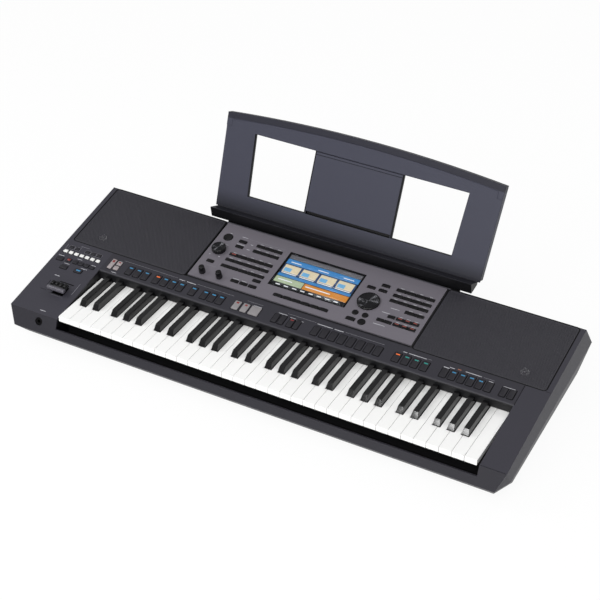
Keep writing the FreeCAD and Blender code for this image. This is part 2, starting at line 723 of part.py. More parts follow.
def panel_bosses(places):
    """Pegs that hold a circuit board under the panel."""
    height = BOARD_DROP - BOARD_THICKNESS - PANEL_THICKNESS + BOSS_LAP
    return [cylinder(BOSS_RADIUS, height, (u, v, -BOARD_DROP + BOARD_THICKNESS)) for u, v in places]


def stick_box(half_u, half_v, bottom, top):
    """A box about the joystick's centre in the panel frame."""
    return block(STICK_U - half_u, STICK_U + half_u, STICK_V - half_v, STICK_V + half_v, bottom, top)


def make_control_panel(case_parts):
    """The left cheek and the long button strip, moulded in one with their inner walls."""
    space = envelope()
    thick = -PANEL_THICKNESS
    strip_front = WALL_Y / math.cos(SLOPE)
    plates = [block(-TOP_HALF, LEFT_CHEEK_EDGE, -PANEL_THICKNESS, STRIP_REAR, thick, 0),
              block(-TOP_HALF, RIGHT_CHEEK_EDGE - SEAM_GAP, strip_front, STRIP_REAR, thick, 0),
              block(-TOP_HALF, -GRILLE_OUTER - FIT_GAP, STRIP_REAR - 1, TOP_LENGTH, thick, 0)]
    opening_u, opening_v = (size / 2 for size in STICK_OPENING)
    wall = STICK_TRAY_WALL
    plates.append(stick_box(opening_u + wall, opening_v + wall, -STICK_TRAY_DEPTH, thick))
    ledge_half = grille_bounds(1)[0] - TRAY_LAP - FIT_GAP
    plates.append(block(-ledge_half, ledge_half, STRIP_REAR - LEDGE_LAP, CENTRE_FRONT + LEDGE_LAP,
                        2 * thick, thick))
    plates += panel_bosses(CHEEK_BOSSES)
    plates += panel_bosses([(beside_keys(u), v) for u, v in STRIP_BOSSES])
    cuts = [stick_box(opening_u, opening_v, -STICK_TRAY_DEPTH + wall, REACH),
            stick_box(STICK_TRAY_HOLE / 2, STICK_TRAY_HOLE / 2, -REACH, 0)]
    for name in BUTTON_ROWS:
        if name not in CENTRE_CLUSTERS:
            cuts += button_slots(cluster_rows(name))
    walls = [block(LEFT_CHEEK_EDGE - CASE_WALL, LEFT_CHEEK_EDGE, 0, WALL_Y + CASE_WALL,
                   CREASE_HEIGHT - FRONT_RAIL_DROP, FAR),
             block(LEFT_CHEEK_EDGE - CASE_WALL, RIGHT_CHEEK_EDGE - SEAM_GAP, WALL_Y, WALL_Y + CASE_WALL,
                   KEY_TOP + WALL_CLEARANCE, FAR)]
    moulding = join([on_panel(plate) for plate in plates] + [wall_box.common(space) for wall_box in walls])
    moulding = carve(moulding.common(space), [on_panel(cut) for cut in cuts] + [strip_rounding()])
    return carve(moulding, case_parts)


def strip_rounding():
    """The waste outside a rounded edge along the front of the button strip."""
    radius = STRIP_ROUNDING
    edge_z = CREASE_HEIGHT + WALL_Y * math.tan(SLOPE)
    reach = radius / math.tan((math.pi / 2 + SLOPE) / 2)
    middle = (WALL_Y + radius, edge_z - reach)
    on_top = (WALL_Y + reach * math.cos(SLOPE), edge_z + reach * math.sin(SLOPE))
    corner = [(WALL_Y, edge_z - reach), (WALL_Y, edge_z), on_top, middle]
    waste = side_bar(corner, LEFT_CHEEK_EDGE, RIGHT_CHEEK_EDGE)
    length = RIGHT_CHEEK_EDGE - LEFT_CHEEK_EDGE
    return waste.cut(cylinder(radius, length, (LEFT_CHEEK_EDGE, *middle), (1, 0, 0)))


def make_right_cheek(case_parts):
    """The right cheek with its inner wall and the narrow border beside the grille."""
    space = envelope()
    plates = [block(RIGHT_CHEEK_EDGE, TOP_HALF, -PANEL_THICKNESS, STRIP_REAR, -PANEL_THICKNESS, 0),
              block(GRILLE_OUTER + FIT_GAP, TOP_HALF, STRIP_REAR - 1, TOP_LENGTH, -PANEL_THICKNESS, 0)]
    wall = block(RIGHT_CHEEK_EDGE, RIGHT_CHEEK_EDGE + CASE_WALL, 0, WALL_Y + 2 * CASE_WALL,
                 CREASE_HEIGHT - FRONT_RAIL_DROP, FAR)
    moulding = join([on_panel(plate) for plate in plates] + [wall.common(space)])
    return carve(moulding.common(space), case_parts)


def grille_bounds(side):
    """Left and right edge of one grille."""
    inner = CENTRE_HALF_WIDTH + CENTRE_GAP
    return (inner, GRILLE_OUTER) if side > 0 else (-GRILLE_OUTER, -inner)


def make_grille(side):
    """A shallow pressed tray of perforated sheet, its rim standing on the speaker tray."""
    u0, u1 = grille_bounds(side)
    v0 = STRIP_REAR + SEAM_GAP
    outer = block(u0, u1, v0, GRILLE_REAR, -GRILLE_DEPTH, 0)
    inner = block(u0 + GRILLE_RIM, u1 - GRILLE_RIM, v0 + GRILLE_RIM, GRILLE_REAR - GRILLE_RIM,
                  -GRILLE_DEPTH, -GRILLE_SHEET)
    return on_panel(outer.cut(inner))


def make_speaker_tray(side, case_parts):
    """The tray that carries one grille, woofer and tweeter under the top."""
    u0, u1 = grille_bounds(side)
    lap = TRAY_LAP
    bottom = -GRILLE_DEPTH - TRAY_FLOOR
    v0 = STRIP_REAR - lap
    outer = block(u0 - lap, u1 + lap, v0, TOP_LENGTH, bottom, -PANEL_THICKNESS)
    well = block(u0 - lap + TRAY_RIM, u1 + lap - TRAY_RIM, v0 + TRAY_RIM, TOP_LENGTH, -GRILLE_DEPTH, 0)
    holes = [cylinder(WOOFER_RADIUS + SHAFT_FIT, 2 * REACH, (side * WOOFER_U, WOOFER_V, -REACH)),
             cylinder(TWEETER_RADIUS + SHAFT_FIT, 2 * REACH, (side * TWEETER_U, TWEETER_V, -REACH))]
    return carve(on_panel(carve(outer, [well] + holes)).common(envelope()), case_parts)


def make_driver(radius, depth, u, v):
    """A loudspeaker turned from one profile: flange, cone, basket and magnet."""
    magnet = radius * MAGNET_SHARE
    lip = radius + SPEAKER_LIP
    floor = -depth * CONE_DEPTH_SHARE
    profile = [(0, -depth), (magnet, -depth), (magnet, floor - TRAY_FLOOR), (radius, -TRAY_FLOOR), (radius, 0),
               (lip, 0), (lip, SPEAKER_FLANGE), (radius * CONE_MOUTH_SHARE, SPEAKER_FLANGE),
               (radius * CONE_THROAT_SHARE, floor), (0, floor)]
    return on_panel(turned(profile, (u, v, -GRILLE_DEPTH)))


def make_centre_panel():
    """The metal-look centre plate, open for the screen, every button and every shaft."""
    plate = block(-CENTRE_HALF_WIDTH, CENTRE_HALF_WIDTH, CENTRE_FRONT, CENTRE_REAR, -PANEL_THICKNESS, 0)
    fit = FIT_GAP
    cuts = [block(-SCREEN_HALF_WIDTH - fit, SCREEN_HALF_WIDTH + fit, SCREEN_FRONT - fit, SCREEN_REAR + fit,
                  -REACH, REACH)]
    for name in CENTRE_CLUSTERS:
        cuts += button_slots(cluster_rows(name))
    rounds = [(u, v, radius + BUTTON_FIT) for u, v, radius in round_buttons()]
    rounds.append((POWER_U, POWER_V, POWER_RADIUS + BUTTON_FIT))
    rounds += [(u, v, SHAFT_RADIUS + SHAFT_FIT) for u, v in shaft_places()]
    cuts += [cylinder(radius, 2 * REACH, (u, v, -REACH)) for u, v, radius in rounds]
    return on_panel(carve(join([plate] + panel_bosses(CENTRE_BOSSES)), cuts))


def shaft_places():
    """Where each knob's shaft passes through the centre plate."""
    return [(VOLUME_U, VOLUME_V), (KNOB_U[0], KNOB_V), (KNOB_U[1], KNOB_V), (DATA_U, DATA_V)]


def shaft_profile():
    """The lower profile shared by all knobs: a shaft down to the circuit board."""
    end = -BOARD_DROP + BOARD_THICKNESS + FIT_GAP
    return [(0, end), (SHAFT_RADIUS, end), (SHAFT_RADIUS, KNOB_LIFT)]


def make_knobs():
    """The four turning controls, each one revolved piece with its shaft."""
    knobs = {}
    dial = [(VOLUME_RADIUS, KNOB_LIFT), (VOLUME_RADIUS, VOLUME_HEIGHT - COLLAR),
            (VOLUME_RADIUS - COLLAR, VOLUME_HEIGHT), (0, VOLUME_HEIGHT)]
    knobs["volume_dial"] = on_panel(turned(shaft_profile() + dial, (VOLUME_U, VOLUME_V, 0)))
    tall = [(KNOB_RADIUS, KNOB_LIFT), (KNOB_TOP_RADIUS, KNOB_HEIGHT - COLLAR),
            (KNOB_TOP_RADIUS - COLLAR, KNOB_HEIGHT), (0, KNOB_HEIGHT)]
    for name, u in zip(("left_assign_knob", "right_assign_knob"), KNOB_U):
        knobs[name] = on_panel(turned(shaft_profile() + tall, (u, KNOB_V, 0)))
    inner = DATA_RADIUS - DATA_RIM
    face = DATA_HEIGHT - DATA_SUNK
    data = [(DATA_RADIUS, KNOB_LIFT), (DATA_RADIUS, DATA_HEIGHT - COLLAR), (DATA_RADIUS - COLLAR, DATA_HEIGHT),
            (inner, DATA_HEIGHT), (inner - DATA_SUNK, face), (0, face)]
    aside = DIMPLE_OFFSET * math.sqrt(0.5)
    dimple = turned([(0, face - DIMPLE_DEPTH), (DIMPLE_FLOOR, face - DIMPLE_DEPTH), (DIMPLE_RADIUS, face),
                     (0, face)], (-aside, -aside, 0))
    wheel = turned(shaft_profile() + data).cut(dimple)
    wheel.translate(Vector(DATA_U, DATA_V, 0))
    knobs["data_dial"] = on_panel(wheel)
    return knobs


def make_screen():
    """The cover glass and the display module behind it."""
    glass = block(-SCREEN_HALF_WIDTH, SCREEN_HALF_WIDTH, SCREEN_FRONT, SCREEN_REAR,
                  GLASS_PROUD - GLASS_THICKNESS, GLASS_PROUD)
    inset = LCD_INSET
    module = block(-SCREEN_HALF_WIDTH + inset, SCREEN_HALF_WIDTH - inset, SCREEN_FRONT + inset,
                   SCREEN_REAR - inset, -BOARD_DROP + BOARD_THICKNESS, GLASS_PROUD - GLASS_THICKNESS)
    return {"screen_glass": on_panel(glass), "lcd_module": on_panel(module)}


def make_panel_boards():
    """Circuit boards under the cheek, the strip and the centre plate, with a body under each knob."""
    bottom = -BOARD_DROP
    top = bottom + BOARD_THICKNESS
    cheek, strip, centre = [block(u0, u1, v0, v1, bottom, top) for u0, u1, v0, v1 in PANEL_BOARDS]
    half = POT_SIDE / 2
    pots = [block(u - half, u + half, v - half, v + half, top, top + POT_HEIGHT) for u, v in shaft_places()]
    bores = [cylinder(SHAFT_RADIUS + SHAFT_FIT, REACH, (u, v, top)) for u, v in shaft_places()]
    return on_panel(Part.makeCompound([cheek, strip, carve(join([centre] + pots), bores)]))


def make_joystick():
    """The two-axis joystick: a base bracket, a gimbal ring and a ribbed paddle with a round front."""
    pivot = -PIVOT_DROP
    outer = GIMBAL_OUTER / 2
    inner = GIMBAL_INNER / 2
    ear_in = outer + EAR_GAP
    ear_out = ear_in + EAR_THICKNESS
    tray_under = -STICK_TRAY_DEPTH
    bearing = PIN_RADIUS + PIN_FIT
    pin_hole = cylinder(bearing, 2 * ear_out, (STICK_U - ear_out, STICK_V, pivot), (1, 0, 0))
    sheet = stick_box(ear_out, STICK_TRAY_HOLE / 2 + BASE_LAP, tray_under - STICK_BASE_SHEET, tray_under)
    ears = [block(STICK_U + start, STICK_U + start + EAR_THICKNESS, STICK_V - EAR_REACH, STICK_V + EAR_REACH,
                  pivot - EAR_REACH, tray_under - STICK_BASE_SHEET) for start in (-ear_out, ear_in)]
    hole = stick_box(STICK_TRAY_HOLE / 2, STICK_TRAY_HOLE / 2, -REACH, 0)
    base = carve(join([sheet] + ears), [hole, pin_hole])

    half = GIMBAL_HEIGHT / 2
    ring = stick_box(outer, outer, pivot - half, pivot + half)
    ring = ring.cut(stick_box(inner, inner, -REACH, 0))
    axle_hole = cylinder(bearing, 2 * GIMBAL_OUTER, (STICK_U, STICK_V - GIMBAL_OUTER, pivot), (0, 1, 0))
    ring = ring.cut(axle_hole)
    pins = [cylinder(PIN_RADIUS, ear_out - inner, (STICK_U + side * inner, STICK_V, pivot), (side, 0, 0))
            for side in (-1, 1)]
    gimbal = join([ring] + pins)

    side = STEM_SIDE / 2
    stem = stick_box(side, side, pivot - STEM_BELOW, ROLL_CENTRE)
    axle = cylinder(PIN_RADIUS, GIMBAL_OUTER, (STICK_U, STICK_V - outer, pivot), (0, 1, 0))
    left = STICK_U - PADDLE_WIDTH / 2
    right = STICK_U + PADDLE_WIDTH / 2
    roll_v = STICK_V - ROLL_FORWARD
    roll = cylinder(ROLL_RADIUS, PADDLE_WIDTH, (left, roll_v, ROLL_CENTRE), (1, 0, 0))
    back = STICK_V + SADDLE_BACK
    saddle = block(left, right, roll_v, back, PADDLE_FLOOR, SADDLE_TOP)
    rib_width, rib_length, rib_height = GRIP_RIB
    first = STICK_U - GRIP_PITCH * (GRIP_RIBS - 1) / 2 - rib_width / 2
    ribs = [block(start, start + rib_width, back - rib_length, back, SADDLE_TOP, SADDLE_TOP + rib_height)
            for start in (first + i * GRIP_PITCH for i in range(GRIP_RIBS))]
    under = stick_box(PADDLE_WIDTH, PADDLE_WIDTH, -REACH, PADDLE_FLOOR)
    paddle = join([carve(join([roll, saddle] + ribs), [under]), stem, axle])
    return {"joystick_base": on_panel(base), "joystick_gimbal": on_panel(gimbal),
            "joystick_paddle": on_panel(paddle)}


def rest_outline(inset):
    """The plate's outline: straight foot, flared sides and an arched top, drawn in by an inset."""
    lean = (REST_HALF_TOP - REST_HALF_BOTTOM) / REST_HEIGHT
    low = REST_HALF_BOTTOM - inset
    high = REST_HALF_TOP - inset
    foot = inset * lean
    left_low = Vector(-low, 0, foot)
    right_low = Vector(low, 0, foot)
    left_high = Vector(-high, 0, REST_HEIGHT - inset)
    right_high = Vector(high, 0, REST_HEIGHT - inset)
    crown = Vector(0, 0, REST_HEIGHT + REST_ARCH - inset)
    sides = [Part.LineSegment(left_low, right_low), Part.LineSegment(right_low, right_high),
             Part.Arc(right_high, crown, left_high), Part.LineSegment(left_high, left_low)]
    return Part.Face(Part.Wire([side.toShape() for side in sides]))


def make_music_rest():
    """The lift-off music rest: a windowed plate with a rim behind, a clip slot, a deep ledge,
    a skirt under it and two tabs."""
    plate = rest_outline(0.0).extrude(Vector(0, REST_SHEET, 0))
    rim = rest_outline(0.0).extrude(Vector(0, REST_RIM_DEPTH, 0))
    hollow = rest_outline(REST_RIM).extrude(Vector(0, REST_RIM_DEPTH, 0))
    foot = block(-FAR, FAR, 0, REST_RIM_DEPTH, -FAR, REST_RIM)
    band = rest_outline(0.0).cut(rest_outline(REST_BAND)).common(
        Part.makeBox(FAR, 1.0, FAR, Vector(-FAR / 2, -0.5, REST_HEIGHT - REST_BAND - REST_ARCH)))
    band = band.extrude(Vector(0, -REST_BAND_PROUD, 0))
    windows = []
    for side in (-1, 1):
        corners = ((WINDOW_INNER, WINDOW_BOTTOM), (WINDOW_OUTER_BOTTOM, WINDOW_BOTTOM),
                   (WINDOW_OUTER_TOP, WINDOW_TOP), (WINDOW_INNER, WINDOW_TOP))
        opening = face_of([(side * x, -REST_SHEET, z) for x, z in corners])
        windows.append(opening.extrude(Vector(0, 3 * REST_SHEET, 0)))
    slot_top = WINDOW_BOTTOM + SLOT_HEIGHT
    slot_back = block(-WINDOW_INNER, WINDOW_INNER, 0, SLOT_DEPTH + SLOT_WALL, WINDOW_BOTTOM - SLOT_WALL,
                      slot_top + SLOT_WALL)
    hollows = [block(-WINDOW_INNER, WINDOW_INNER, -REST_SHEET, REST_RECESS, WINDOW_BOTTOM, WINDOW_TOP),
               block(-WINDOW_INNER + SLOT_WALL, WINDOW_INNER - SLOT_WALL, -REST_SHEET, SLOT_DEPTH,
                     WINDOW_BOTTOM, slot_top)]
    ledge = side_bar([(0, 0), (-LEDGE_DEPTH, 0), (-LEDGE_DEPTH + LIP_UNDERCUT, -LIP_DROP),
                      (REST_SHEET, -LEDGE_HEEL), (REST_SHEET, 0)], -LEDGE_HALF, LEDGE_HALF)
    tabs = [block(side * TAB_U - TAB_WIDTH / 2, side * TAB_U + TAB_WIDTH / 2, REST_SHEET,
                  REST_SHEET + TAB_THICKNESS, -TAB_LENGTH, WINDOW_BOTTOM / 2) for side in (-1, 1)]
    skirt = block(-SKIRT_HALF, SKIRT_HALF, 0, REST_SHEET, -SKIRT_DROP, 0)
    shell = join([plate, carve(rim, [hollow, foot]), band, ledge, skirt, slot_back] + tabs)
    return on_rest(carve(shell, windows + hollows))


def white_slots():
    """Each white key: its note, index and how far a black key cuts in at either side."""
    three = 3 * PITCH / 5
    four = 4 * PITCH / 7
    centres = {"c": 1.5 * three, "d": 3.5 * three - PITCH, "f": 1.5 * four, "g": 3.5 * four - PITCH,
               "a": 5.5 * four - 2 * PITCH}
    half = BLACK_WIDTH / 2 + BLACK_CLEARANCE
    keys = []
    for index in range(WHITE_COUNT):
        name = WHITE_NAMES[index % 7]
        before = WHITE_NAMES[(index - 1) % 7]
        last = index == WHITE_COUNT - 1
        right = PITCH - (centres[name] - half) if name in centres and not last else KEY_GAP / 2
        left = centres[before] + half - PITCH if before in centres and index else KEY_GAP / 2
        black = centres[name] if name in centres and not last else None
        keys.append((name, index, left, right, black))
    return keys


def hinge_slot(x0, x1):
    """The open slot that lets a key's tail rock on the hinge bead."""
    reach = HINGE_RADIUS + HINGE_CLEARANCE
    return block(x0, x1, HINGE_Y - reach, HINGE_Y + reach, FRAME_TOP, HINGE_HEIGHT + reach)


def make_white_key(index, left, right):
    """A hollow white key, notched for its black neighbours, with a hinge block under its tail."""
    x0 = KEYS_LEFT + index * PITCH
    edge = KEY_GAP / 2
    notch = BLACK_FRONT - BLACK_CLEARANCE

    def outline(inset, end):
        return [(x0 + edge + inset, KEY_FRONT + inset), (x0 + PITCH - edge - inset, KEY_FRONT + inset),
                (x0 + PITCH - edge - inset, notch - inset), (x0 + PITCH - right - inset, notch - inset),
                (x0 + PITCH - right - inset, end), (x0 + left + inset, end),
                (x0 + left + inset, notch - inset), (x0 + edge + inset, notch - inset)]

    def prism(inset, end, z0, z1):
        corners = []
        for x, y in outline(inset, end):
            if (x, y) not in corners:
                corners.append((x, y))
        return face_of([(x, y, z0) for x, y in corners]).extrude(Vector(0, 0, z1 - z0))

    body = prism(0.0, KEY_END, KEY_BOTTOM, KEY_TOP)
    pocket = prism(KEY_WALL, KEY_END - HINGE_BLOCK_LENGTH - KEY_WALL, KEY_BOTTOM, KEY_TOP - KEY_WALL)
    heel = block(x0 + left, x0 + PITCH - right, KEY_END - HINGE_BLOCK_LENGTH, KEY_END,
                 KEY_BOTTOM - HINGE_BLOCK_DEPTH, KEY_BOTTOM)
    return carve(join([body, heel]), [pocket, hinge_slot(x0, x0 + PITCH)])


def make_black_key(centre):
    """A black key with a sloped nose and tapered flanks, carried on a tail like a white one."""
    half = BLACK_WIDTH / 2
    crest = KEY_TOP + BLACK_RISE
    back = WALL_Y - BLACK_CLEARANCE
    heel = KEY_END - HINGE_BLOCK_LENGTH
    sole = KEY_BOTTOM - HINGE_BLOCK_DEPTH
    profile = [(BLACK_FRONT, KEY_BOTTOM), (BLACK_FRONT, KEY_TOP + BLACK_CHIN),
               (BLACK_FRONT + BLACK_NOSE, crest), (back, crest), (back, KEY_TOP), (KEY_END, KEY_TOP),
               (KEY_END, sole), (heel, sole), (heel, KEY_BOTTOM)]
    body = side_bar(profile, centre - half, centre + half)
    flanks = []
    for side in (-1, 1):
        corners = [(centre + side * half, KEY_TOP), (centre + side * (half - BLACK_TAPER), crest),
                   (centre + side * half, crest)]
        flanks.append(face_of([(x, BLACK_FRONT, z) for x, z in corners]).extrude(Vector(0, BLACK_LENGTH, 0)))
    pocket = block(centre - half + KEY_WALL, centre + half - KEY_WALL, BLACK_FRONT + 2 * KEY_WALL,
                   heel - KEY_WALL, KEY_BOTTOM, KEY_TOP - KEY_WALL)
    return carve(body, flanks + [pocket, hinge_slot(centre - half, centre + half)])


def make_keys():
    """Twelve groups of keys, one for each note name, so that neighbours move apart from each other."""
    groups = {}
    for name, index, left, right, black in white_slots():
        groups.setdefault("keys_" + name, []).append(make_white_key(index, left, right))
        if black is not None:
            key = make_black_key(KEYS_LEFT + index * PITCH + black)
            groups.setdefault("keys_" + BLACK_AFTER[name], []).append(key)
    return {name: Part.makeCompound(keys) for name, keys in groups.items()}


def key_centres():
    """The middle of every key's tail."""
    centres = []
    for _, index, left, right, black in white_slots():
        x0 = KEYS_LEFT + index * PITCH
        centres.append(x0 + (left + PITCH - right) / 2)
        if black is not None:
            centres.append(x0 + black)
    return centres


def make_key_bed():
    """The sheet frame with its hinge bead, the stop felts, the contact board and the return springs."""
    x0 = KEYS_LEFT
    x1 = KEYS_RIGHT
    under = FRAME_TOP - FRAME_SHEET
    front = KEY_FRONT + FRAME_FRONT_INSET
    rear = HINGE_Y + FRAME_REAR_EXTRA
    sheet = block(x0, x1, front, rear, under, FRAME_TOP)
    webs = [block(x0, x1, y, y + FRAME_SHEET, FLOOR_TOP, under)
            for y in (front + FRAME_WEB_INSET, rear - FRAME_WEB_INSET)]
    neck = block(x0, x1, HINGE_Y - HINGE_NECK / 2, HINGE_Y + HINGE_NECK / 2, FRAME_TOP, HINGE_HEIGHT)
    bead = cylinder(HINGE_RADIUS, x1 - x0, (x0, HINGE_Y, HINGE_HEIGHT), (1, 0, 0))
    felt = block(x0, x1, KEY_FRONT + FELT_INSET, KEY_FRONT + FELT_INSET + FELT_LENGTH,
                 FRAME_TOP, FRAME_TOP + FELT_HEIGHT)
    board_top = FRAME_TOP + BOARD_THICKNESS
    board_start = CONTACT_BOARD_START
    board = block(x0, x1, board_start, board_start + CONTACT_BOARD_LENGTH, FRAME_TOP, board_top)
    rubber_start = board_start + (CONTACT_BOARD_LENGTH - CONTACT_RUBBER_LENGTH) / 2
    rubber = block(x0, x1, rubber_start, rubber_start + CONTACT_RUBBER_LENGTH, board_top,
                   board_top + CONTACT_RUBBER_HEIGHT)
    springs = []
    for x in key_centres():
        profile = [(SPRING_START, FRAME_TOP), (SPRING_START + SPRING_RUN, FRAME_TOP + SPRING_RISE),
                   (SPRING_START + SPRING_RUN + SPRING_SHEET, FRAME_TOP + SPRING_RISE),
                   (SPRING_START + SPRING_SHEET, FRAME_TOP)]
        springs.append(side_bar(profile, x - SPRING_WIDTH / 2, x + SPRING_WIDTH / 2))
    return {"key_frame": join([sheet, neck, bead] + webs), "key_felt": felt,
            "key_contact_board": join([board, rubber]), "key_springs": Part.makeCompound(springs)}


def make_connectors():
    """The rear sockets, each a hollow body behind its own hole in the rear panel."""
    inside = REAR_Y - CASE_WALL
    wide, deep, high = JACK_BODY
    jacks = []
    for u in JACK_U:
        body = block(u - wide / 2, u + wide / 2, inside - deep, inside,
                     JACK_HEIGHT - high / 2, JACK_HEIGHT + high / 2)
        bush = cylinder(JACK_BUSH, CASE_WALL + JACK_PROUD, (u, inside, JACK_HEIGHT), (0, 1, 0))
        bore = cylinder(JACK_BORE, deep, (u, REAR_Y + JACK_PROUD - deep, JACK_HEIGHT), (0, 1, 0))
        jacks.append(carve(join([body, bush]), [bore]))
    midi = []
    for u in MIDI_U:
        shell = cylinder(MIDI_RADIUS, MIDI_DEPTH, (u, REAR_Y - MIDI_DEPTH, JACK_HEIGHT), (0, 1, 0))
        flange = block(u - wide / 2 - SOCKET_BODY, u + wide / 2 + SOCKET_BODY, inside - MIDI_DEPTH, inside,
                       JACK_HEIGHT - high / 2 - SOCKET_BODY, JACK_HEIGHT + high / 2 + SOCKET_BODY)
        bore = cylinder(MIDI_BORE, MIDI_DEPTH - SOCKET_BODY,
                        (u, REAR_Y - MIDI_DEPTH + SOCKET_BODY, JACK_HEIGHT), (0, 1, 0))
        midi.append(carve(join([shell, flange]), [bore]))
    usb = []
    for u, (size_u, size_z) in zip(USB_U, USB_SIZE):
        shell = block(u - size_u / 2, u + size_u / 2, REAR_Y - USB_DEPTH, REAR_Y,
                      JACK_HEIGHT - size_z / 2, JACK_HEIGHT + size_z / 2)
        half_u = size_u / 2 - USB_SHELL
        half_z = size_z / 2 - USB_SHELL
        mouth = block(u - half_u, u + half_u, REAR_Y - USB_DEPTH + SOCKET_BODY, REAR_Y,
                      JACK_HEIGHT - half_z, JACK_HEIGHT + half_z)
        usb.append(shell.cut(mouth))
    size_u, size_z = INLET_SIZE
    body = block(INLET_U - size_u / 2, INLET_U + size_u / 2, REAR_Y - INLET_DEPTH, inside,
                 JACK_HEIGHT - size_z / 2, JACK_HEIGHT + size_z / 2)
    nose = cylinder(INLET_NOSE, CASE_WALL, (INLET_U, inside, JACK_HEIGHT), (0, 1, 0))
    bore = cylinder(INLET_BORE, INLET_DEPTH - SOCKET_BODY,
                    (INLET_U, REAR_Y - INLET_DEPTH + SOCKET_BODY, JACK_HEIGHT), (0, 1, 0))
    return {"rear_jacks": Part.makeCompound(jacks), "data_sockets": Part.makeCompound(midi + usb),
            "power_inlet": carve(join([body, nose]), [bore]), "headphone_jack": make_phones_jack()}


def make_inner_boards():
    """The main board and the supply board on their posts, with their tallest components."""
    bottom = FLOOR_TOP + STANDOFF_HEIGHT
    top = bottom + BOARD_THICKNESS
    boards = {}
    for name, (x0, x1, y0, y1), height in (("main_board", MAIN_BOARD, CHIP_HEIGHT),
                                           ("supply_board", SUPPLY_BOARD, SINK_HEIGHT)):
        sheet = block(x0, x1, y0, y1, bottom, top)
        chip_x = (x0 + x1 - CHIP_SIZE[0]) / 2
        chip_y = (y0 + y1 - CHIP_SIZE[1]) / 2
        chip = block(chip_x, chip_x + CHIP_SIZE[0], chip_y, chip_y + CHIP_SIZE[1], top, top + height)
        boards[name] = join([sheet, chip])
    return boards


def make_feet_and_screws():
    """Rubber feet under the tub and the countersunk case screws."""
    feet = [turned([(0, 0), (FOOT_RADIUS - FOOT_TAPER, 0), (FOOT_RADIUS, FOOT_HEIGHT), (0, FOOT_HEIGHT)],
                   (x, y, 0)) for x, y in FOOT_POSITIONS]
    screws = [case_screw(x, y, 0.0) for x, y in SCREW_POSITIONS]
    return {"rubber_feet": Part.makeCompound(feet), "case_screws": Part.makeCompound(screws)}


def build():
    """Every node of the keyboard by name, with the front crease at y = 0."""
    nodes = {}
    tub = make_tub()
    rails = make_end_rails()
    nodes.update(rails)
    nodes["lower_case"] = make_lower_case(tub, rails)
    nodes["rear_panel"] = make_rear_panel(rails)
    case_parts = list(rails.values()) + [nodes["lower_case"], nodes["rear_panel"]]
    nodes["control_panel"] = make_control_panel(case_parts)
    nodes["right_cheek_panel"] = make_right_cheek(case_parts)
    for word, side in (("left", -1), ("right", 1)):
        nodes[word + "_speaker_grille"] = make_grille(side)
    nodes["speaker_trays"] = Part.makeCompound([make_speaker_tray(side, case_parts) for side in (-1, 1)])
    nodes["woofers"] = Part.makeCompound(
        [make_driver(WOOFER_RADIUS, WOOFER_DEPTH, side * WOOFER_U, WOOFER_V) for side in (-1, 1)])
    nodes["tweeters"] = Part.makeCompound(
        [make_driver(TWEETER_RADIUS, TWEETER_DEPTH, side * TWEETER_U, TWEETER_V) for side in (-1, 1)])
    nodes["centre_panel"] = make_centre_panel()
    nodes["panel_boards"] = make_panel_boards()
    nodes["music_rest"] = make_music_rest()
    for group in (make_screen(), make_buttons(), make_knobs(), make_joystick(), make_keys(), make_key_bed(),
                  make_connectors(), make_inner_boards(), make_feet_and_screws()):
        nodes.update(group)
    return nodes


def main():
    """Write one file for each node, with the part's origin at the middle of its footprint on the floor."""
    os.makedirs("parts", exist_ok=True)
    for name, shape in build().items():
        placed = shape.copy()
        placed.translate(Vector(0, -MIDDLE_Y, 0))
        placed.exportStep(os.path.join("parts", name + ".step"))
        print(name, len(placed.Solids), round(placed.Volume), placed.isValid())


if __name__ == "__main__":
    main()
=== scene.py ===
"""The looks of a 61-key arranger keyboard, laid over its packed construction model."""
import logging
import math
from dataclasses import dataclass
from enum import Enum
from typing import Any, NamedTuple, Sequence

import bpy
import numpy as np
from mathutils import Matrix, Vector


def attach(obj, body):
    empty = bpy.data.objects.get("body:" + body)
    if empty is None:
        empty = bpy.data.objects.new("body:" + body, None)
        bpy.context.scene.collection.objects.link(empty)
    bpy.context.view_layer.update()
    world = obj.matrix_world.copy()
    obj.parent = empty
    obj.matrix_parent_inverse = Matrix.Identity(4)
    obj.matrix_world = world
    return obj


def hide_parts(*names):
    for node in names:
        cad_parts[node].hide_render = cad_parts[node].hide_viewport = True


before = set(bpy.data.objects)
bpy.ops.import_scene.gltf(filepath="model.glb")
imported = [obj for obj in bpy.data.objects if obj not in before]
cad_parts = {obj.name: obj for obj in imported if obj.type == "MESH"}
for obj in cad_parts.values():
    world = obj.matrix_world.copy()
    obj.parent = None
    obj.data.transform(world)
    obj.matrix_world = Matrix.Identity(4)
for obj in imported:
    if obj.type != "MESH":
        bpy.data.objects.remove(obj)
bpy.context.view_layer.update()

CASE = "case"
MM = 0.001
HAIR = 0.02
log = logging.getLogger("keyboard")

Colour = tuple[float, float, float, float]
Box = tuple[float, float, float, float]
Triple = tuple[float, float, float]
Profile = Sequence[tuple[float, float]]
Socket, Tree, Material = bpy.types.NodeSocket, bpy.types.NodeTree, bpy.types.Material


def tone(red: float, green: float, blue: float) -> Colour:
    """Turn a display colour into the linear light that shaders use.

    Args:
        red: Red from 0 to 255.
        green: Green from 0 to 255.
        blue: Blue from 0 to 255.

    Returns:
        The linear colour with a full alpha.
    """
    share = np.array((red, green, blue)) / 255.0
    linear = np.where(share <= 0.04045, share / 12.92, ((share + 0.055) / 1.055) ** 2.4)
    return (float(linear[0]), float(linear[1]), float(linear[2]), 1.0)


# Surfaces worked out on a sloping plane


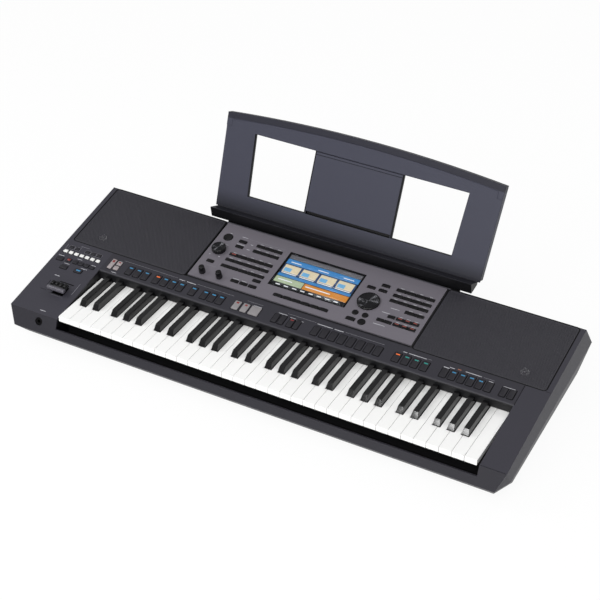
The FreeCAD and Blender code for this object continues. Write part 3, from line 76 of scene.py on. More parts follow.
@dataclass(frozen=True)
class Slope:
    """A sloping plane: u runs right, v up the slope from its foot and w out of it, in millimetres."""

    angle: float
    foot_y: float
    foot_z: float

    def place(self, points: np.ndarray) -> np.ndarray:
        """Turn (u, v, w) points by the slope, carry them to its foot and give metres.

        Args:
            points: An array whose last axis is u, v and w.

        Returns:
            The points in the shared frame.
        """
        u, v, w = np.moveaxis(points, -1, 0)
        y = v * math.cos(self.angle) - w * math.sin(self.angle) + self.foot_y
        z = v * math.sin(self.angle) + w * math.cos(self.angle) + self.foot_z
        return np.stack([u, y, z], axis=-1) * MM


TOP = Slope(math.radians(10.26), -234.139, 71.6)
REST_FACE = Slope(math.radians(66.6), 154.266, 144.749)


@dataclass(frozen=True)
class Surface:
    """A triangle surface: points in metres, rows of three indices, and perhaps a colour for each point."""

    points: np.ndarray
    faces: np.ndarray
    tints: np.ndarray | None = None


def merged(parts: Sequence[Surface]) -> Surface:
    """Lay several surfaces into one.

    Args:
        parts: The surfaces, all with colours or all without.

    Returns:
        One surface with the parts' points one after the other.
    """
    starts = np.cumsum([0] + [len(part.points) for part in parts[:-1]])
    points = np.concatenate([part.points for part in parts])
    faces = np.concatenate([part.faces + start for part, start in zip(parts, starts)])
    tints = None if parts[0].tints is None else np.concatenate([part.tints for part in parts])
    return Surface(points, faces, tints)


def band_faces(rings: int, around: int, closed: bool) -> np.ndarray:
    """Triangles between rings of points: each square of the grid is cut along one diagonal.

    Args:
        rings: How many rings the grid has.
        around: How many points a ring has.
        closed: Whether the last ring joins the first.

    Returns:
        Rows of three indices.
    """
    row = np.arange(rings if closed else rings - 1)[:, None]
    here = np.arange(around)[None, :]
    after = np.roll(here, -1, axis=1)
    low, high = row * around, ((row + 1) % rings) * around
    first = np.stack([low + here, low + after, high + after], axis=-1)
    second = np.stack([low + here, high + after, high + here], axis=-1)
    return np.concatenate([first.reshape(-1, 3), second.reshape(-1, 3)])


def columns(loops: np.ndarray, plane: Slope = TOP) -> Surface:
    """Closed columns: each loop is joined to the next, and a middle point closes both ends.

    Args:
        loops: Points as (columns, rings, points around, 3), from the bottom up, anticlockwise from above.
        plane: The plane they stand on.

    Returns:
        The columns on the plane.
    """
    count, rings, around, _ = loops.shape
    ends = np.stack([loops[:, 0].mean(axis=1), loops[:, -1].mean(axis=1)], axis=1)
    points = np.concatenate([loops.reshape(count, rings * around, 3), ends], axis=1)
    here = np.arange(around)
    after = np.roll(here, -1)
    low_end = np.stack([np.full(around, rings * around), after, here], axis=-1)
    last = (rings - 1) * around
    high_end = np.stack([np.full(around, rings * around + 1), last + here, last + after], axis=-1)
    faces = np.concatenate([band_faces(rings, around, False), low_end, high_end])
    steps = np.arange(count) * (rings * around + 2)
    return Surface(plane.place(points.reshape(-1, 3)), (faces[None] + steps[:, None, None]).reshape(-1, 3))


def hoops(loops: np.ndarray, plane: Slope = TOP) -> Surface:
    """Closed bands: each loop is joined to the next and the last to the first, as round a picture frame.

    Args:
        loops: Points as (bands, rings, points around, 3).
        plane: The plane they lie on.

    Returns:
        The bands on the plane.
    """
    count, rings, around, _ = loops.shape
    faces = band_faces(rings, around, True)
    steps = np.arange(count) * rings * around
    return Surface(plane.place(loops.reshape(-1, 3)), (faces[None] + steps[:, None, None]).reshape(-1, 3))


def outlines(boxes: np.ndarray, profile: Profile, corner: float, steps: int) -> np.ndarray:
    """Rounded rectangles carried along a profile.

    Four quarter circles stand at the corners, joined by straight runs. Each pair of the profile draws the
    outline in by its first number and lifts it to its second.

    Args:
        boxes: One row for each rectangle: middle u, middle v, width and length.
        profile: Pairs of inset and height.
        corner: The corner radius, cut down to half the narrower side.
        steps: Straight runs in each quarter circle.

    Returns:
        Points as (rectangles, profile pairs, points around, 3).
    """
    quarter = np.linspace(0.0, math.pi / 2, steps + 1)
    turn = np.concatenate([quarter + side * math.pi / 2 for side in range(4)])
    side_u = np.repeat([1.0, -1.0, -1.0, 1.0], steps + 1)
    side_v = np.repeat([1.0, 1.0, -1.0, -1.0], steps + 1)
    inset, height = np.array(profile, dtype=float).T
    half = boxes[:, None, None, 2:4] / 2
    round_to = np.minimum(corner, half.min(axis=-1)) - inset[None, :, None]
    radius = np.maximum(round_to, HAIR)
    reach = half - inset[None, :, None, None] - radius[..., None]
    u = boxes[:, None, None, 0] + side_u * reach[..., 0] + radius * np.cos(turn)
    v = boxes[:, None, None, 1] + side_v * reach[..., 1] + radius * np.sin(turn)
    w = np.broadcast_to(height[None, :, None], u.shape)
    return np.stack([u, v, w], axis=-1)


def plates(boxes: np.ndarray, profile: Profile, corner: float, steps: int = 3, plane: Slope = TOP) -> Surface:
    """Closed rounded plates on a plane, one for each box, raised along one profile of inset and height."""
    return columns(outlines(np.atleast_2d(boxes), profile, corner, steps), plane)


def rings(boxes: np.ndarray, width: float, inner: float, low: float, high: float, corner: float) -> Surface:
    """Flat frames around boxes: the outline stands off by the inner gap and again by the frame's width.

    Args:
        boxes: One row for each frame: middle u, middle v, width and length of what it surrounds.
        width: The frame's own width.
        inner: The gap between the box and the frame.
        low: Height of the underside.
        high: Height of the top.
        corner: Corner radius of the box.

    Returns:
        The frames on the sloping top.
    """
    wide = np.array(boxes, dtype=float)
    wide[:, 2:4] += 2 * (inner + width)
    profile = [(width, high), (width, low), (0.0, low), (0.0, high - HAIR), (HAIR, high)]
    return hoops(outlines(wide, profile, corner + inner + width, 3))


def turned(centre: tuple[float, float], profile: Profile, around: int, ribs: int = 0, depth: float = 0.0,
           dent: Box | None = None) -> Surface:
    """A turned piece: a profile of radius and height carried round its axis.

    The radius may swell and shrink with the cosine of the angle, as ribs do, and a dent lowers the top by a
    parabola: its depth times one less the square of the distance from the dent's middle over its radius.

    Args:
        centre: Where the axis stands, as u and v.
        profile: Pairs of radius and height from the bottom up.
        around: Points around the axis.
        ribs: Ribs around the side.
        depth: How deep the ribs are.
        dent: The dent's middle (u and v from the axis), radius and depth.

    Returns:
        The closed piece on the sloping top.
    """
    profile = np.array(profile)
    angle = np.arange(around) * 2 * math.pi / around
    radius = profile[:, :1] - depth * (0.5 - 0.5 * np.cos(ribs * angle)) * (profile[:, :1] > depth * 8)
    u, v = radius * np.cos(angle), radius * np.sin(angle)
    w = np.broadcast_to(profile[:, 1:2], u.shape).copy()
    if dent is not None:
        far = np.hypot(u - dent[0], v - dent[1]) / dent[2]
        w -= dent[3] * np.clip(1 - far ** 2, 0.0, 1.0)
    return columns(np.stack([u + centre[0], v + centre[1], w], axis=-1)[None])


def perforated(box: Box, pitch: float, hole: float, top: float, thick: float) -> Surface:
    """A sheet with six-sided holes in staggered rows.

    Each hole has a six-sided cell round it; the cell's border and the hole's edge are joined by squares. The
    cells share their corners. Every edge that only one face has gets a wall down to the underside.

    Args:
        box: The sheet's lowest u and v and highest u and v.
        pitch: Distance between neighbouring holes.
        hole: Radius of a hole at its corners.
        top: Height of the sheet's top.
        thick: The sheet's thickness.

    Returns:
        The closed sheet on the sloping top.
    """
    low_u, low_v, high_u, high_v = box
    rise = pitch * math.sqrt(3.0) / 2
    across, along = int((high_u - low_u) / pitch), int((high_v - low_v) / rise)
    row, column = np.meshgrid(np.arange(along), np.arange(across), indexing="ij")
    u = low_u + (column + 0.25 + 0.5 * (row % 2)) * (high_u - low_u) / across
    v = low_v + (row + 0.5) * (high_v - low_v) / along
    middle = np.stack([u, v], axis=-1).reshape(-1, 1, 2)
    turn = np.radians(np.arange(30, 390, 60))
    spoke = np.stack([np.cos(turn), np.sin(turn)], axis=-1)[None]
    stretch = np.array([(high_u - low_u) / across / pitch, (high_v - low_v) / along / rise])
    border = middle + spoke * pitch / math.sqrt(3.0) * stretch
    edge = middle + spoke * hole
    flat = np.concatenate([border, edge], axis=1).reshape(-1, 2)
    kept, index = np.unique(np.round(flat, 2), axis=0, return_inverse=True)
    index = index.reshape(-1, 12)
    k = np.arange(6)
    n = (k + 1) % 6
    cells = np.concatenate([index[:, np.stack([k, n, n + 6], axis=-1)],
                            index[:, np.stack([k, n + 6, k + 6], axis=-1)]])
    faces = cells.reshape(-1, 3)
    runs = np.concatenate([faces[:, [0, 1]], faces[:, [1, 2]], faces[:, [2, 0]]])
    span = len(kept)
    lone = ~np.isin(runs[:, 0] * span + runs[:, 1], runs[:, 1] * span + runs[:, 0])
    start, stop = runs[lone].T
    walls = np.concatenate([np.stack([stop, start, start + span], axis=-1),
                            np.stack([stop, start + span, stop + span], axis=-1)])
    upper = np.column_stack([kept, np.full(span, top)])
    lower = np.column_stack([kept, np.full(span, top - thick)])
    return Surface(TOP.place(np.concatenate([upper, lower])),
                   np.concatenate([faces, faces[:, ::-1] + span, walls]))


def round_opening(box: Box, centre: tuple[float, float], radius: float, top: float, thick: float) -> Surface:
    """A rectangular sheet with one round opening.

    Each ray from the opening's middle runs from its circle to the rectangle's edge.

    Args:
        box: The sheet's lowest u and v and highest u and v.
        centre: The opening's middle.
        radius: The opening's radius.
        top: Height of the sheet's top.
        thick: The sheet's thickness.

    Returns:
        The closed sheet on the sloping top.
    """
    low = np.array(box[:2]) - centre
    high = np.array(box[2:]) - centre
    corners = np.arctan2([low[1], low[1], high[1], high[1]], [low[0], high[0], high[0], low[0]])
    angle = np.unique(np.concatenate([np.linspace(-math.pi, math.pi, 72, endpoint=False), corners]))
    ray = np.stack([np.cos(angle), np.sin(angle)], axis=-1)
    safe = np.where(np.abs(ray) < 1e-9, 1e-9, ray)
    reach = np.where(safe > 0, high, low) / safe
    outer = ray * reach.min(axis=-1, keepdims=True)
    inner = ray * radius
    flat = [np.column_stack([ring + np.array(centre), np.full(len(ray), height)])
            for ring, height in ((inner, top), (inner, top - thick), (outer, top - thick), (outer, top))]
    return hoops(np.stack(flat)[None])


# Shader wiring


class Wiring:
    """A hand for adding and joining nodes in one tree."""

    def __init__(self, tree: Tree) -> None:
        """Take up a node tree."""
        self.tree = tree

    def plug(self, value: Any, socket: Socket) -> None:
        """Join a socket to another one, or set its own value.

        Args:
            value: A socket or a value.
            socket: The input that takes it.
        """
        if isinstance(value, Socket):
            self.tree.links.new(value, socket)
        else:
            socket.default_value = value

    def add(self, kind: str, sockets: dict[Any, Any] | None = None, **settings: Any) -> bpy.types.Node:
        """Add a node.

        Args:
            kind: Its type name.
            sockets: Values or joins for its inputs, by name or number.
            settings: Its own settings.

        Returns:
            The node.
        """
        node = self.tree.nodes.new(kind)
        for key, value in settings.items():
            setattr(node, key, value)
        for key, value in (sockets or {}).items():
            self.plug(value, node.inputs[key])
        return node

    def work(self, operation: str, first: Any, second: Any = 0.0) -> Socket:
        """Put out one sum of two numbers, such as MULTIPLY or ADD."""
        return self.add("ShaderNodeMath", {0: first, 1: second}, operation=operation).outputs[0]

    def within(self, value: Any, middle: float, reach: float) -> Socket:
        """Put out one where a value is no further than a reach from a middle, and nought elsewhere."""
        return self.add("ShaderNodeMath", {0: value, 1: middle, 2: reach}, operation="COMPARE").outputs[0]

    def around_one(self, wave: Any, amount: Any) -> Socket:
        """Put out one plus a wave of 0 to 1, centred and scaled."""
        return self.work("ADD", self.work("MULTIPLY", self.work("SUBTRACT", wave, 0.5), amount), 1.0)

    def noise(self, place: Any, scale: Any, detail: float) -> Socket:
        """Put out a noise of 0 to 1."""
        made = self.add("ShaderNodeTexNoise", {"Vector": place, "Scale": scale, "Detail": detail})
        return made.outputs["Fac"]

    def shaded(self, colour: Any, value: Any) -> Socket:
        """Put out a colour whose brightness is multiplied by a value."""
        return self.add("ShaderNodeHueSaturation", {"Value": value, "Color": colour}).outputs["Color"]

    def choose(self, mask: Any, plain: Any, other: Any) -> Socket:
        """Put out a plain colour where a mask is nought, another where it is one, and a blend between."""
        return self.add("ShaderNodeMix", {0: mask, 6: plain, 7: other}, data_type="RGBA").outputs[2]


class GroupBench(Wiring):
    """A node group in the making: a place, a colour and numbers go in, a colour and numbers come out."""

    def __init__(self, name: str, takes: Sequence[str], gives: Sequence[str]) -> None:
        """Open a group with its sockets.

        Args:
            name: The group's name.
            takes: Names of the numbers that go in.
            gives: Names of the numbers that come out.
        """
        super().__init__(bpy.data.node_groups.new(name, "ShaderNodeTree"))
        face = self.tree.interface
        face.new_socket("Vector", in_out="INPUT", socket_type="NodeSocketVector")
        for direction, numbers in (("INPUT", takes), ("OUTPUT", gives)):
            face.new_socket("Colour", in_out=direction, socket_type="NodeSocketColor")
            for label in numbers:
                face.new_socket(label, in_out=direction, socket_type="NodeSocketFloat")
        self.given = self.tree.nodes.new("NodeGroupInput").outputs
        self.gives = self.tree.nodes.new("NodeGroupOutput").inputs


class Effect(Enum):
    """Effects that several finishes share, each a node group built once."""

    GRAIN = "moulded_grain"
    STREAKS = "satin_streaks"
    WEAVE = "woven_cloth"

    def group(self) -> Tree:
        """The node group of this effect, built at its first use."""
        makers = {Effect.GRAIN: moulded_grain, Effect.STREAKS: satin_streaks, Effect.WEAVE: woven_cloth}
        return bpy.data.node_groups.get(self.value) or makers[self]()


FINE_DETAIL = 3.0
BROAD_SCALE, BROAD_DETAIL = 11.0, 4.0


def moulded_grain() -> Tree:
    """Moulded plastic: a fine noise is the grain, and a broad one makes the colour a little uneven.

    Returns:
        A group that puts out colour, roughness and height.
    """
    bench = GroupBench(Effect.GRAIN.value, ("Grain", "Mottle", "Roughness", "Spread"),
                       ("Roughness", "Height"))
    given = bench.given
    fine = bench.noise(given["Vector"], given["Grain"], FINE_DETAIL)
    broad = bench.noise(given["Vector"], BROAD_SCALE, BROAD_DETAIL)
    sway = bench.work("MULTIPLY", bench.work("SUBTRACT", fine, 0.5), given["Spread"])
    colour = bench.shaded(given["Colour"], bench.around_one(broad, given["Mottle"]))
    bench.plug(colour, bench.gives["Colour"])
    bench.plug(bench.work("ADD", given["Roughness"], sway), bench.gives["Roughness"])
    bench.plug(fine, bench.gives["Height"])
    return bench.tree


def satin_streaks() -> Tree:
    """Brushed satin: a noise that is squeezed across the streaks and drawn out along them.

    Returns:
        A group that puts out colour, roughness and height.
    """
    bench = GroupBench(Effect.STREAKS.value, ("Along", "Across", "Contrast", "Roughness"),
                       ("Roughness", "Height"))
    given = bench.given
    squeeze = bench.add("ShaderNodeCombineXYZ",
                        {"X": given["Along"], "Y": given["Across"], "Z": given["Across"]})
    drawn = bench.add("ShaderNodeVectorMath", {0: given["Vector"], 1: squeeze.outputs[0]},
                      operation="MULTIPLY")
    streak = bench.noise(drawn.outputs[0], 1.0, FINE_DETAIL)
    value = bench.around_one(streak, given["Contrast"])
    bench.plug(bench.shaded(given["Colour"], value), bench.gives["Colour"])
    bench.plug(bench.work("MULTIPLY", given["Roughness"], value), bench.gives["Roughness"])
    bench.plug(streak, bench.gives["Height"])
    return bench.tree


def woven_cloth() -> Tree:
    """Woven cloth: the sine of the place across times the sine of the place along, at the thread's pitch.

    Returns:
        A group that puts out colour and height.
    """
    bench = GroupBench(Effect.WEAVE.value, ("Threads", "Contrast"), ("Height",))
    given = bench.given
    place = bench.add("ShaderNodeSeparateXYZ", {"Vector": given["Vector"]}).outputs
    warp, weft = (bench.work("SINE", bench.work("MULTIPLY", place[axis], given["Threads"])) for axis in "XY")
    cross = bench.work("ADD", bench.work("MULTIPLY", bench.work("MULTIPLY", warp, weft), 0.5), 0.5)
    colour = bench.shaded(given["Colour"], bench.around_one(cross, given["Contrast"]))
    bench.plug(colour, bench.gives["Colour"])
    bench.plug(cross, bench.gives["Height"])
    return bench.tree


class Sheet(Wiring):
    """One material and its shader, in the making."""

    def __init__(self, name: str) -> None:
        """Open a material.

        Args:
            name: The material's name.
        """
        self.material = bpy.data.materials.new(name)
        self.material.use_nodes = True
        super().__init__(self.material.node_tree)
        self.shader = self.tree.nodes["Principled BSDF"]
        self.place = self.add("ShaderNodeTexCoord").outputs["Object"]

    def feed(self, **values: Any) -> None:
        """Set or join the shader's sockets; an underscore stands for a space in their names."""
        for label, value in values.items():
            self.plug(value, self.shader.inputs[label.replace("_", " ")])

    def effect(self, effect: Effect, **values: Any) -> bpy.types.NodeOutputs:
        """Lay an effect's group into the material with its own values.

        Args:
            effect: Which effect.
            values: Its inputs by name.

        Returns:
            The group's outputs.
        """
        node = self.add("ShaderNodeGroup", node_tree=effect.group())
        self.plug(self.place, node.inputs["Vector"])
        for label, value in values.items():
            self.plug(value, node.inputs[label])
        return node.outputs

    def along(self, axis: Triple) -> Socket:
        """Put out how far the place lies along an axis."""
        return self.add("ShaderNodeVectorMath", {0: self.place, 1: axis},
                        operation="DOT_PRODUCT").outputs["Value"]

    def relief(self, height: Socket, depth: float) -> None:
        """Raise the surface's look by a height of 0 to 1 over a depth in metres."""
        bump = self.add("ShaderNodeBump", {"Height": height, "Distance": depth, "Strength": 1.0})
        self.feed(Normal=bump.outputs["Normal"])


# Finishes


@dataclass(frozen=True)
class Finish:
    """A finish with the name of its material and the slot it answers to."""

    name: str
    slot: str

    def material(self) -> Material:
        """Find the material, or mix it at its first use.

        Returns:
            The material of this finish.
        """
        known = bpy.data.materials.get(self.name)
        if known is not None:
            return known
        sheet = Sheet(self.name)
        self.mix(sheet)
        return sheet.material

    def mix(self, sheet: Sheet) -> None:
        """Wire the material's sheet; each kind of finish has its own way."""
        raise NotImplementedError


@dataclass(frozen=True)
class Plastic(Finish):
    """Moulded plastic with a fine grain."""

    colour: Colour
    roughness: float = 0.5
    gloss: float = 0.5
    coat: float = 0.0
    grain: float = 1500.0
    relief: float = 0.00005
    mottle: float = 0.08
    spread: float = 0.12

    def shade(self, sheet: Sheet) -> Any:
        """The plastic's colour, or a socket that puts it out."""
        return self.colour

    def mix(self, sheet: Sheet) -> None:
        """Grain colours the plastic, changes its roughness and raises its surface.

        Args:
            sheet: The material in the making.
        """
        grain = sheet.effect(Effect.GRAIN, Colour=self.shade(sheet), Grain=self.grain, Mottle=self.mottle,
                             Roughness=self.roughness, Spread=self.spread)
        sheet.feed(Base_Color=grain["Colour"], Roughness=grain["Roughness"], Coat_Weight=self.coat,
                   Specular_IOR_Level=self.gloss)
        sheet.relief(grain["Height"], self.relief)


class Zone(NamedTuple):
    """What lies beyond an edge along an axis, and its shade."""

    axis: Triple
    edge: float
    colour: Colour


@dataclass(frozen=True)
class ZonedPlastic(Plastic):
    """Moulded plastic whose colour changes at lines across some axes: a second grey in some zones, painted
    shade in others.
    """

    gloss: float = 0.35
    zones: tuple[Zone, ...] = ()

    def shade(self, sheet: Sheet) -> Any:
        """The place along each zone's axis picks its colour or the one before.

        Args:
            sheet: The material in the making.

        Returns:
            A socket with the colour.
        """
        pick: Any = self.colour
        for zone in self.zones:
            beyond = sheet.work("GREATER_THAN", sheet.along(zone.axis), zone.edge)
            pick = sheet.choose(beyond, pick, zone.colour)
        return pick


@dataclass(frozen=True)
class ShadedRestPlastic(Plastic):
    """The music rest's slate plastic, with painted shade: a darker band along the arched top, darker towards
    the ledge, a dark ledge, a black lip and a black line along the slot.
    """

    gloss: float = 0.3
    band: Colour = tone(33, 33, 44)
    ledge: Colour = tone(24, 24, 31)
    lip: Colour = tone(9, 9, 12)
    lean: float = math.radians(23.4)
    foot: float = 0.19406
    half: float = 0.293
    band_edge: float = 0.1887
    arch: float = 0.014
    slot_shadow_height: tuple[float, float] = (0.0357, 0.0031)
    slot_shadow_half: float = 0.0905
    scoop_shade: Triple = (0.036, 0.006, 0.8)
    ledge_half: float = 0.0012

    def shade(self, sheet: Sheet) -> Any:
        """The height up the leaning plate, less the arch's parabola for the band, picks the colour.

        Args:
            sheet: The material in the making.

        Returns:
            A socket with the colour.
        """
        upward = sheet.along((0.0, math.sin(self.lean), math.cos(self.lean)))
        height = sheet.work("SUBTRACT", upward, self.foot)
        across = sheet.along((1.0, 0.0, 0.0))
        share = sheet.work("DIVIDE", across, self.half)
        fall = sheet.work("MULTIPLY", sheet.work("POWER", share, 2.0), self.arch)
        start, stop, depth = self.scoop_shade
        scoop_shade = sheet.add("ShaderNodeMapRange", {"Value": height, "From Min": start, "From Max": stop,
                                                 "To Min": 0.0, "To Max": depth}).outputs["Result"]
        slot = sheet.work("MULTIPLY", sheet.within(height, *self.slot_shadow_height),
                          sheet.within(across, 0.0, self.slot_shadow_half))
        # Painted shade: darker towards the ledge, a darker band under the arched top, a black line along the
        # slot, a dark ledge and a black lip
        pick: Any = self.colour
        for mask, colour in (
                (scoop_shade, self.ledge),
                (sheet.work("GREATER_THAN", sheet.work("ADD", height, fall), self.band_edge), self.band),
                (slot, self.lip),
                (sheet.work("LESS_THAN", height, self.ledge_half), self.ledge),
                (sheet.work("LESS_THAN", height, -self.ledge_half), self.lip)):
            pick = sheet.choose(mask, pick, colour)
        return pick


@dataclass(frozen=True)
class KeyPlastic(Plastic):
    """Key plastic: each key has its own slight shade, and the grain is faint."""

    grain: float = 900.0
    relief: float = 0.00001
    mottle: float = 0.03
    spread: float = 0.06
    left: float = -0.3974
    pitch: float = 0.02357
    change: float = 0.03

    def shade(self, sheet: Sheet) -> Any:
        """The key's number along the width sets a random shade.

        Args:
            sheet: The material in the making.

        Returns:
            A socket with the colour.
        """
        across = sheet.along((1.0, 0.0, 0.0))
        offset = sheet.work("SUBTRACT", across, self.left)
        number = sheet.work("FLOOR", sheet.work("DIVIDE", offset, self.pitch))
        chance = sheet.add("ShaderNodeTexWhiteNoise", {"W": number}, noise_dimensions="1D").outputs["Value"]
        return sheet.shaded(self.colour, sheet.around_one(chance, self.change))


@dataclass(frozen=True)
class Satin(Finish):
    """Painted or bare metal with fine streaks along the width."""

    colour: Colour
    roughness: float = 0.4
    metallic: float = 0.0
    contrast: float = 0.12
    along: float = 40.0
    across: float = 1800.0
    relief: float = 0.00002

    def mix(self, sheet: Sheet) -> None:
        """Streaks colour the metal, change its roughness and raise its surface.

        Args:
            sheet: The material in the making.
        """
        streaks = sheet.effect(Effect.STREAKS, Colour=self.colour, Along=self.along, Across=self.across,
                               Contrast=self.contrast, Roughness=self.roughness)
        sheet.feed(Base_Color=streaks["Colour"], Roughness=streaks["Roughness"], Metallic=self.metallic)
        sheet.relief(streaks["Height"], self.relief)


@dataclass(frozen=True)
class Cloth(Finish):
    """Woven or felted cloth."""

    colour: Colour
    threads: float = 6000.0
    contrast: float = 0.3
    roughness: float = 0.95
    relief: float = 0.0001

    def mix(self, sheet: Sheet) -> None:
        """The weave shades the cloth and raises its threads.

        Args:
            sheet: The material in the making.
        """
        weave = sheet.effect(Effect.WEAVE, Colour=self.colour, Threads=self.threads, Contrast=self.contrast)
        sheet.feed(Base_Color=weave["Colour"], Roughness=self.roughness)
        sheet.relief(weave["Height"], self.relief)


@dataclass(frozen=True)
class Lamp(Finish):
    """A lit lens: its plastic glows, a little unevenly."""

    colour: Colour
    bright: float
    grain: float = 500.0
    mottle: float = 0.5
    roughness: float = 0.3
    spread: float = 0.1

    def mix(self, sheet: Sheet) -> None:
        """Grain makes the glow uneven over a dark lens of the same hue."""
        grain = sheet.effect(Effect.GRAIN, Colour=self.colour, Grain=self.grain, Mottle=self.mottle,
                             Roughness=self.roughness, Spread=self.spread)
        sheet.feed(Base_Color=grain["Colour"], Roughness=grain["Roughness"], Emission_Color=grain["Colour"],
                   Emission_Strength=self.bright)


@dataclass(frozen=True)
class Picture(Finish):
    """The lit picture of the display, from a colour that each patch carries."""

    unlit: Colour = (0.01, 0.01, 0.012, 1.0)
    rows: float = 300.0
    contrast: float = 0.25
    roughness: float = 0.3

    def mix(self, sheet: Sheet) -> None:
        """Each patch's own colour glows, through the fine rows of a display.

        Args:
            sheet: The material in the making.
        """
        tint = sheet.add("ShaderNodeAttribute", attribute_name="tint").outputs["Color"]
        streaks = sheet.effect(Effect.STREAKS, Colour=tint, Along=self.rows, Across=self.rows,
                               Contrast=self.contrast, Roughness=self.roughness)
        sheet.feed(Base_Color=self.unlit, Roughness=streaks["Roughness"], Emission_Color=streaks["Colour"],
                   Emission_Strength=1.0)


@dataclass(frozen=True)
class Glass(Finish):
    """Clear cover glass."""

    colour: Colour = (0.93, 0.95, 0.97, 1.0)
    bend: float = 1.2
    grain: float = 40.0
    mottle: float = 0.02
    roughness: float = 0.04
    spread: float = 0.04

    def mix(self, sheet: Sheet) -> None:
        """Plain transmission, with a faint smear in its roughness."""
        grain = sheet.effect(Effect.GRAIN, Colour=self.colour, Grain=self.grain, Mottle=self.mottle,
                             Roughness=self.roughness, Spread=self.spread)
        sheet.feed(Base_Color=grain["Colour"], Roughness=grain["Roughness"], Transmission_Weight=1.0,
                   IOR=self.bend)


# Where a colour changes: near the floor, past the left cheek's inner edge and 1.8 mm under the sloping top
# Painted shadow: the case is near black within 10.8 mm of the floor, where shade falls under its edge
FLOOR_SHADOW = Zone((0.0, 0.0, -1.0), -0.0108, tone(14, 14, 17))
PAST_CHEEK = Zone((1.0, 0.0, 0.0), -0.4005, tone(44, 43, 50))
# Painted shade: walls more than 1.8 mm under the sloping top, such as the strip's front wall over the keys,
# are near black
WALL_SHADE = Zone((0.0, math.sin(TOP.angle), -math.cos(TOP.angle)), -0.1104, tone(15, 15, 18))


class Finishes:
    """The finishes of this keyboard by what they are on."""

    CASE = Plastic("case_charcoal", "case_plastic", tone(50, 49, 57), roughness=0.52, gloss=0.35)
    # Painted shade: the lower case, whose faces look forward and down, takes a darker copy of the case
    # plastic
    BASE = ZonedPlastic("base_charcoal", "case_plastic", tone(35, 34, 41), zones=(FLOOR_SHADOW,))
    PANEL = ZonedPlastic("panel_charcoal", "case_plastic", tone(52, 51, 59), zones=(PAST_CHEEK, WALL_SHADE))
    REST = ShadedRestPlastic("rest_slate", "rest_plastic", tone(57, 58, 71))
    REST_DARK = Plastic("rest_shadow", "rest_plastic", tone(15, 15, 19), roughness=0.6, gloss=0.2)
    GRILLE = Satin("grille_paint", "grille_metal", tone(41, 40, 47), roughness=0.5, contrast=0.08)
    # Grey cloth, lighter than the grille's paint as painted light that makes up for the shade inside the
    # holes
    CLOTH = Cloth("grille_cloth", "speaker", tone(52, 51, 58))
    CENTRE = Satin("centre_satin", "panel_plastic", tone(113, 109, 117), roughness=0.42, metallic=0.3,
                   contrast=0.14)
    WHITE_KEY = KeyPlastic("ivory_white", "key_white", tone(240, 240, 239), roughness=0.25, coat=0.2)
    BLACK_KEY = KeyPlastic("ebony_black", "key_black", tone(9, 9, 11), roughness=0.18, change=0.1)
    CAP_DARK = Plastic("cap_dark", "button_dark", tone(36, 35, 40), roughness=0.45, gloss=0.3)
    CAP_BLACK = Plastic("cap_black", "button_dark", tone(11, 10, 12), roughness=0.3, gloss=0.3)
    CAP_GREY = Plastic("cap_grey", "button_dark", tone(130, 127, 129), roughness=0.45)
    CAP_WHITE = Plastic("cap_white", "button_white", tone(226, 226, 224), roughness=0.4)
    CAP_PALE = Plastic("cap_pale", "button_white", tone(150, 142, 143), roughness=0.4)
    # Near black: the display's bezel and the right cheek's seams, and painted shadow round the caps, along
    # the grilles' joints and round the joystick's recess
    BLACK_AND_SHADE = Plastic("black_and_shade", "button_dark", tone(9, 9, 11), roughness=0.6, gloss=0.15)
    # The socket's own black, made darker still as painted shade for the deep recess round the jack
    SOCKET = Plastic("socket_black", "inner_plastic", tone(6, 6, 7), roughness=0.7, gloss=0.1)
    INK = Plastic("ink_pale", "panel_plastic", tone(170, 170, 176), roughness=0.6)
    INK_DIM = Plastic("ink_dim", "panel_plastic", tone(120, 119, 126), roughness=0.6)
    INK_WARM = Plastic("ink_warm", "panel_plastic", tone(160, 104, 80), roughness=0.6)
    KNOB = Plastic("knob_black", "knob_gloss", tone(12, 12, 14), roughness=0.25, gloss=0.35, relief=0.00001)
    PADDLE = Plastic("paddle_grey", "knob_gloss", tone(80, 78, 86), roughness=0.35)
    SADDLE = Plastic("saddle_black", "knob_gloss", tone(14, 14, 16), roughness=0.4, gloss=0.3)
    SPUN = Satin("spun_metal", "knob_gloss", tone(62, 62, 65), roughness=0.16, metallic=0.95, contrast=0.08)
    BLUE = Lamp("lamp_blue", "button_dark", tone(44, 104, 140), 0.55)
    ORANGE = Lamp("lamp_orange", "button_dark", tone(196, 92, 40), 0.6)
    TEAL = Lamp("lamp_teal", "button_dark", tone(34, 112, 106), 0.5)
    RED = Lamp("lamp_red", "button_dark", tone(112, 36, 34), 0.28)
    EMBER = Lamp("lamp_ember", "button_dark", tone(116, 56, 50), 0.5)
    GLASS = Glass("cover_glass", "screen_glass")
    PICTURE = Picture("display_picture", "display")
    INNER = Plastic("inner_black", "inner_plastic", tone(22, 22, 24), roughness=0.6)
    STEEL = Satin("steel_satin", "steel", tone(170, 170, 174), roughness=0.3, metallic=1.0)
    FRAME = Satin("frame_black", "frame_metal", tone(30, 30, 32), roughness=0.5, metallic=0.4)
    FELT = Cloth("felt_black", "felt", tone(24, 23, 25), threads=3000.0)
    BOARD = Plastic("board_green", "board", tone(30, 70, 44), roughness=0.4, mottle=0.3)
    SPEAKER = Cloth("speaker_paper", "speaker", tone(30, 30, 32), threads=4000.0)
    TWEETER = Plastic("tweeter_silver", "speaker", tone(228, 228, 230), roughness=0.4)
    RUBBER = Plastic("foot_rubber", "rubber", tone(24, 24, 25), roughness=0.8)


# Putting pieces into the scene

WELD_REACH = 0.00002
BEVEL_FROM = math.radians(30)
SOFT = 40.0


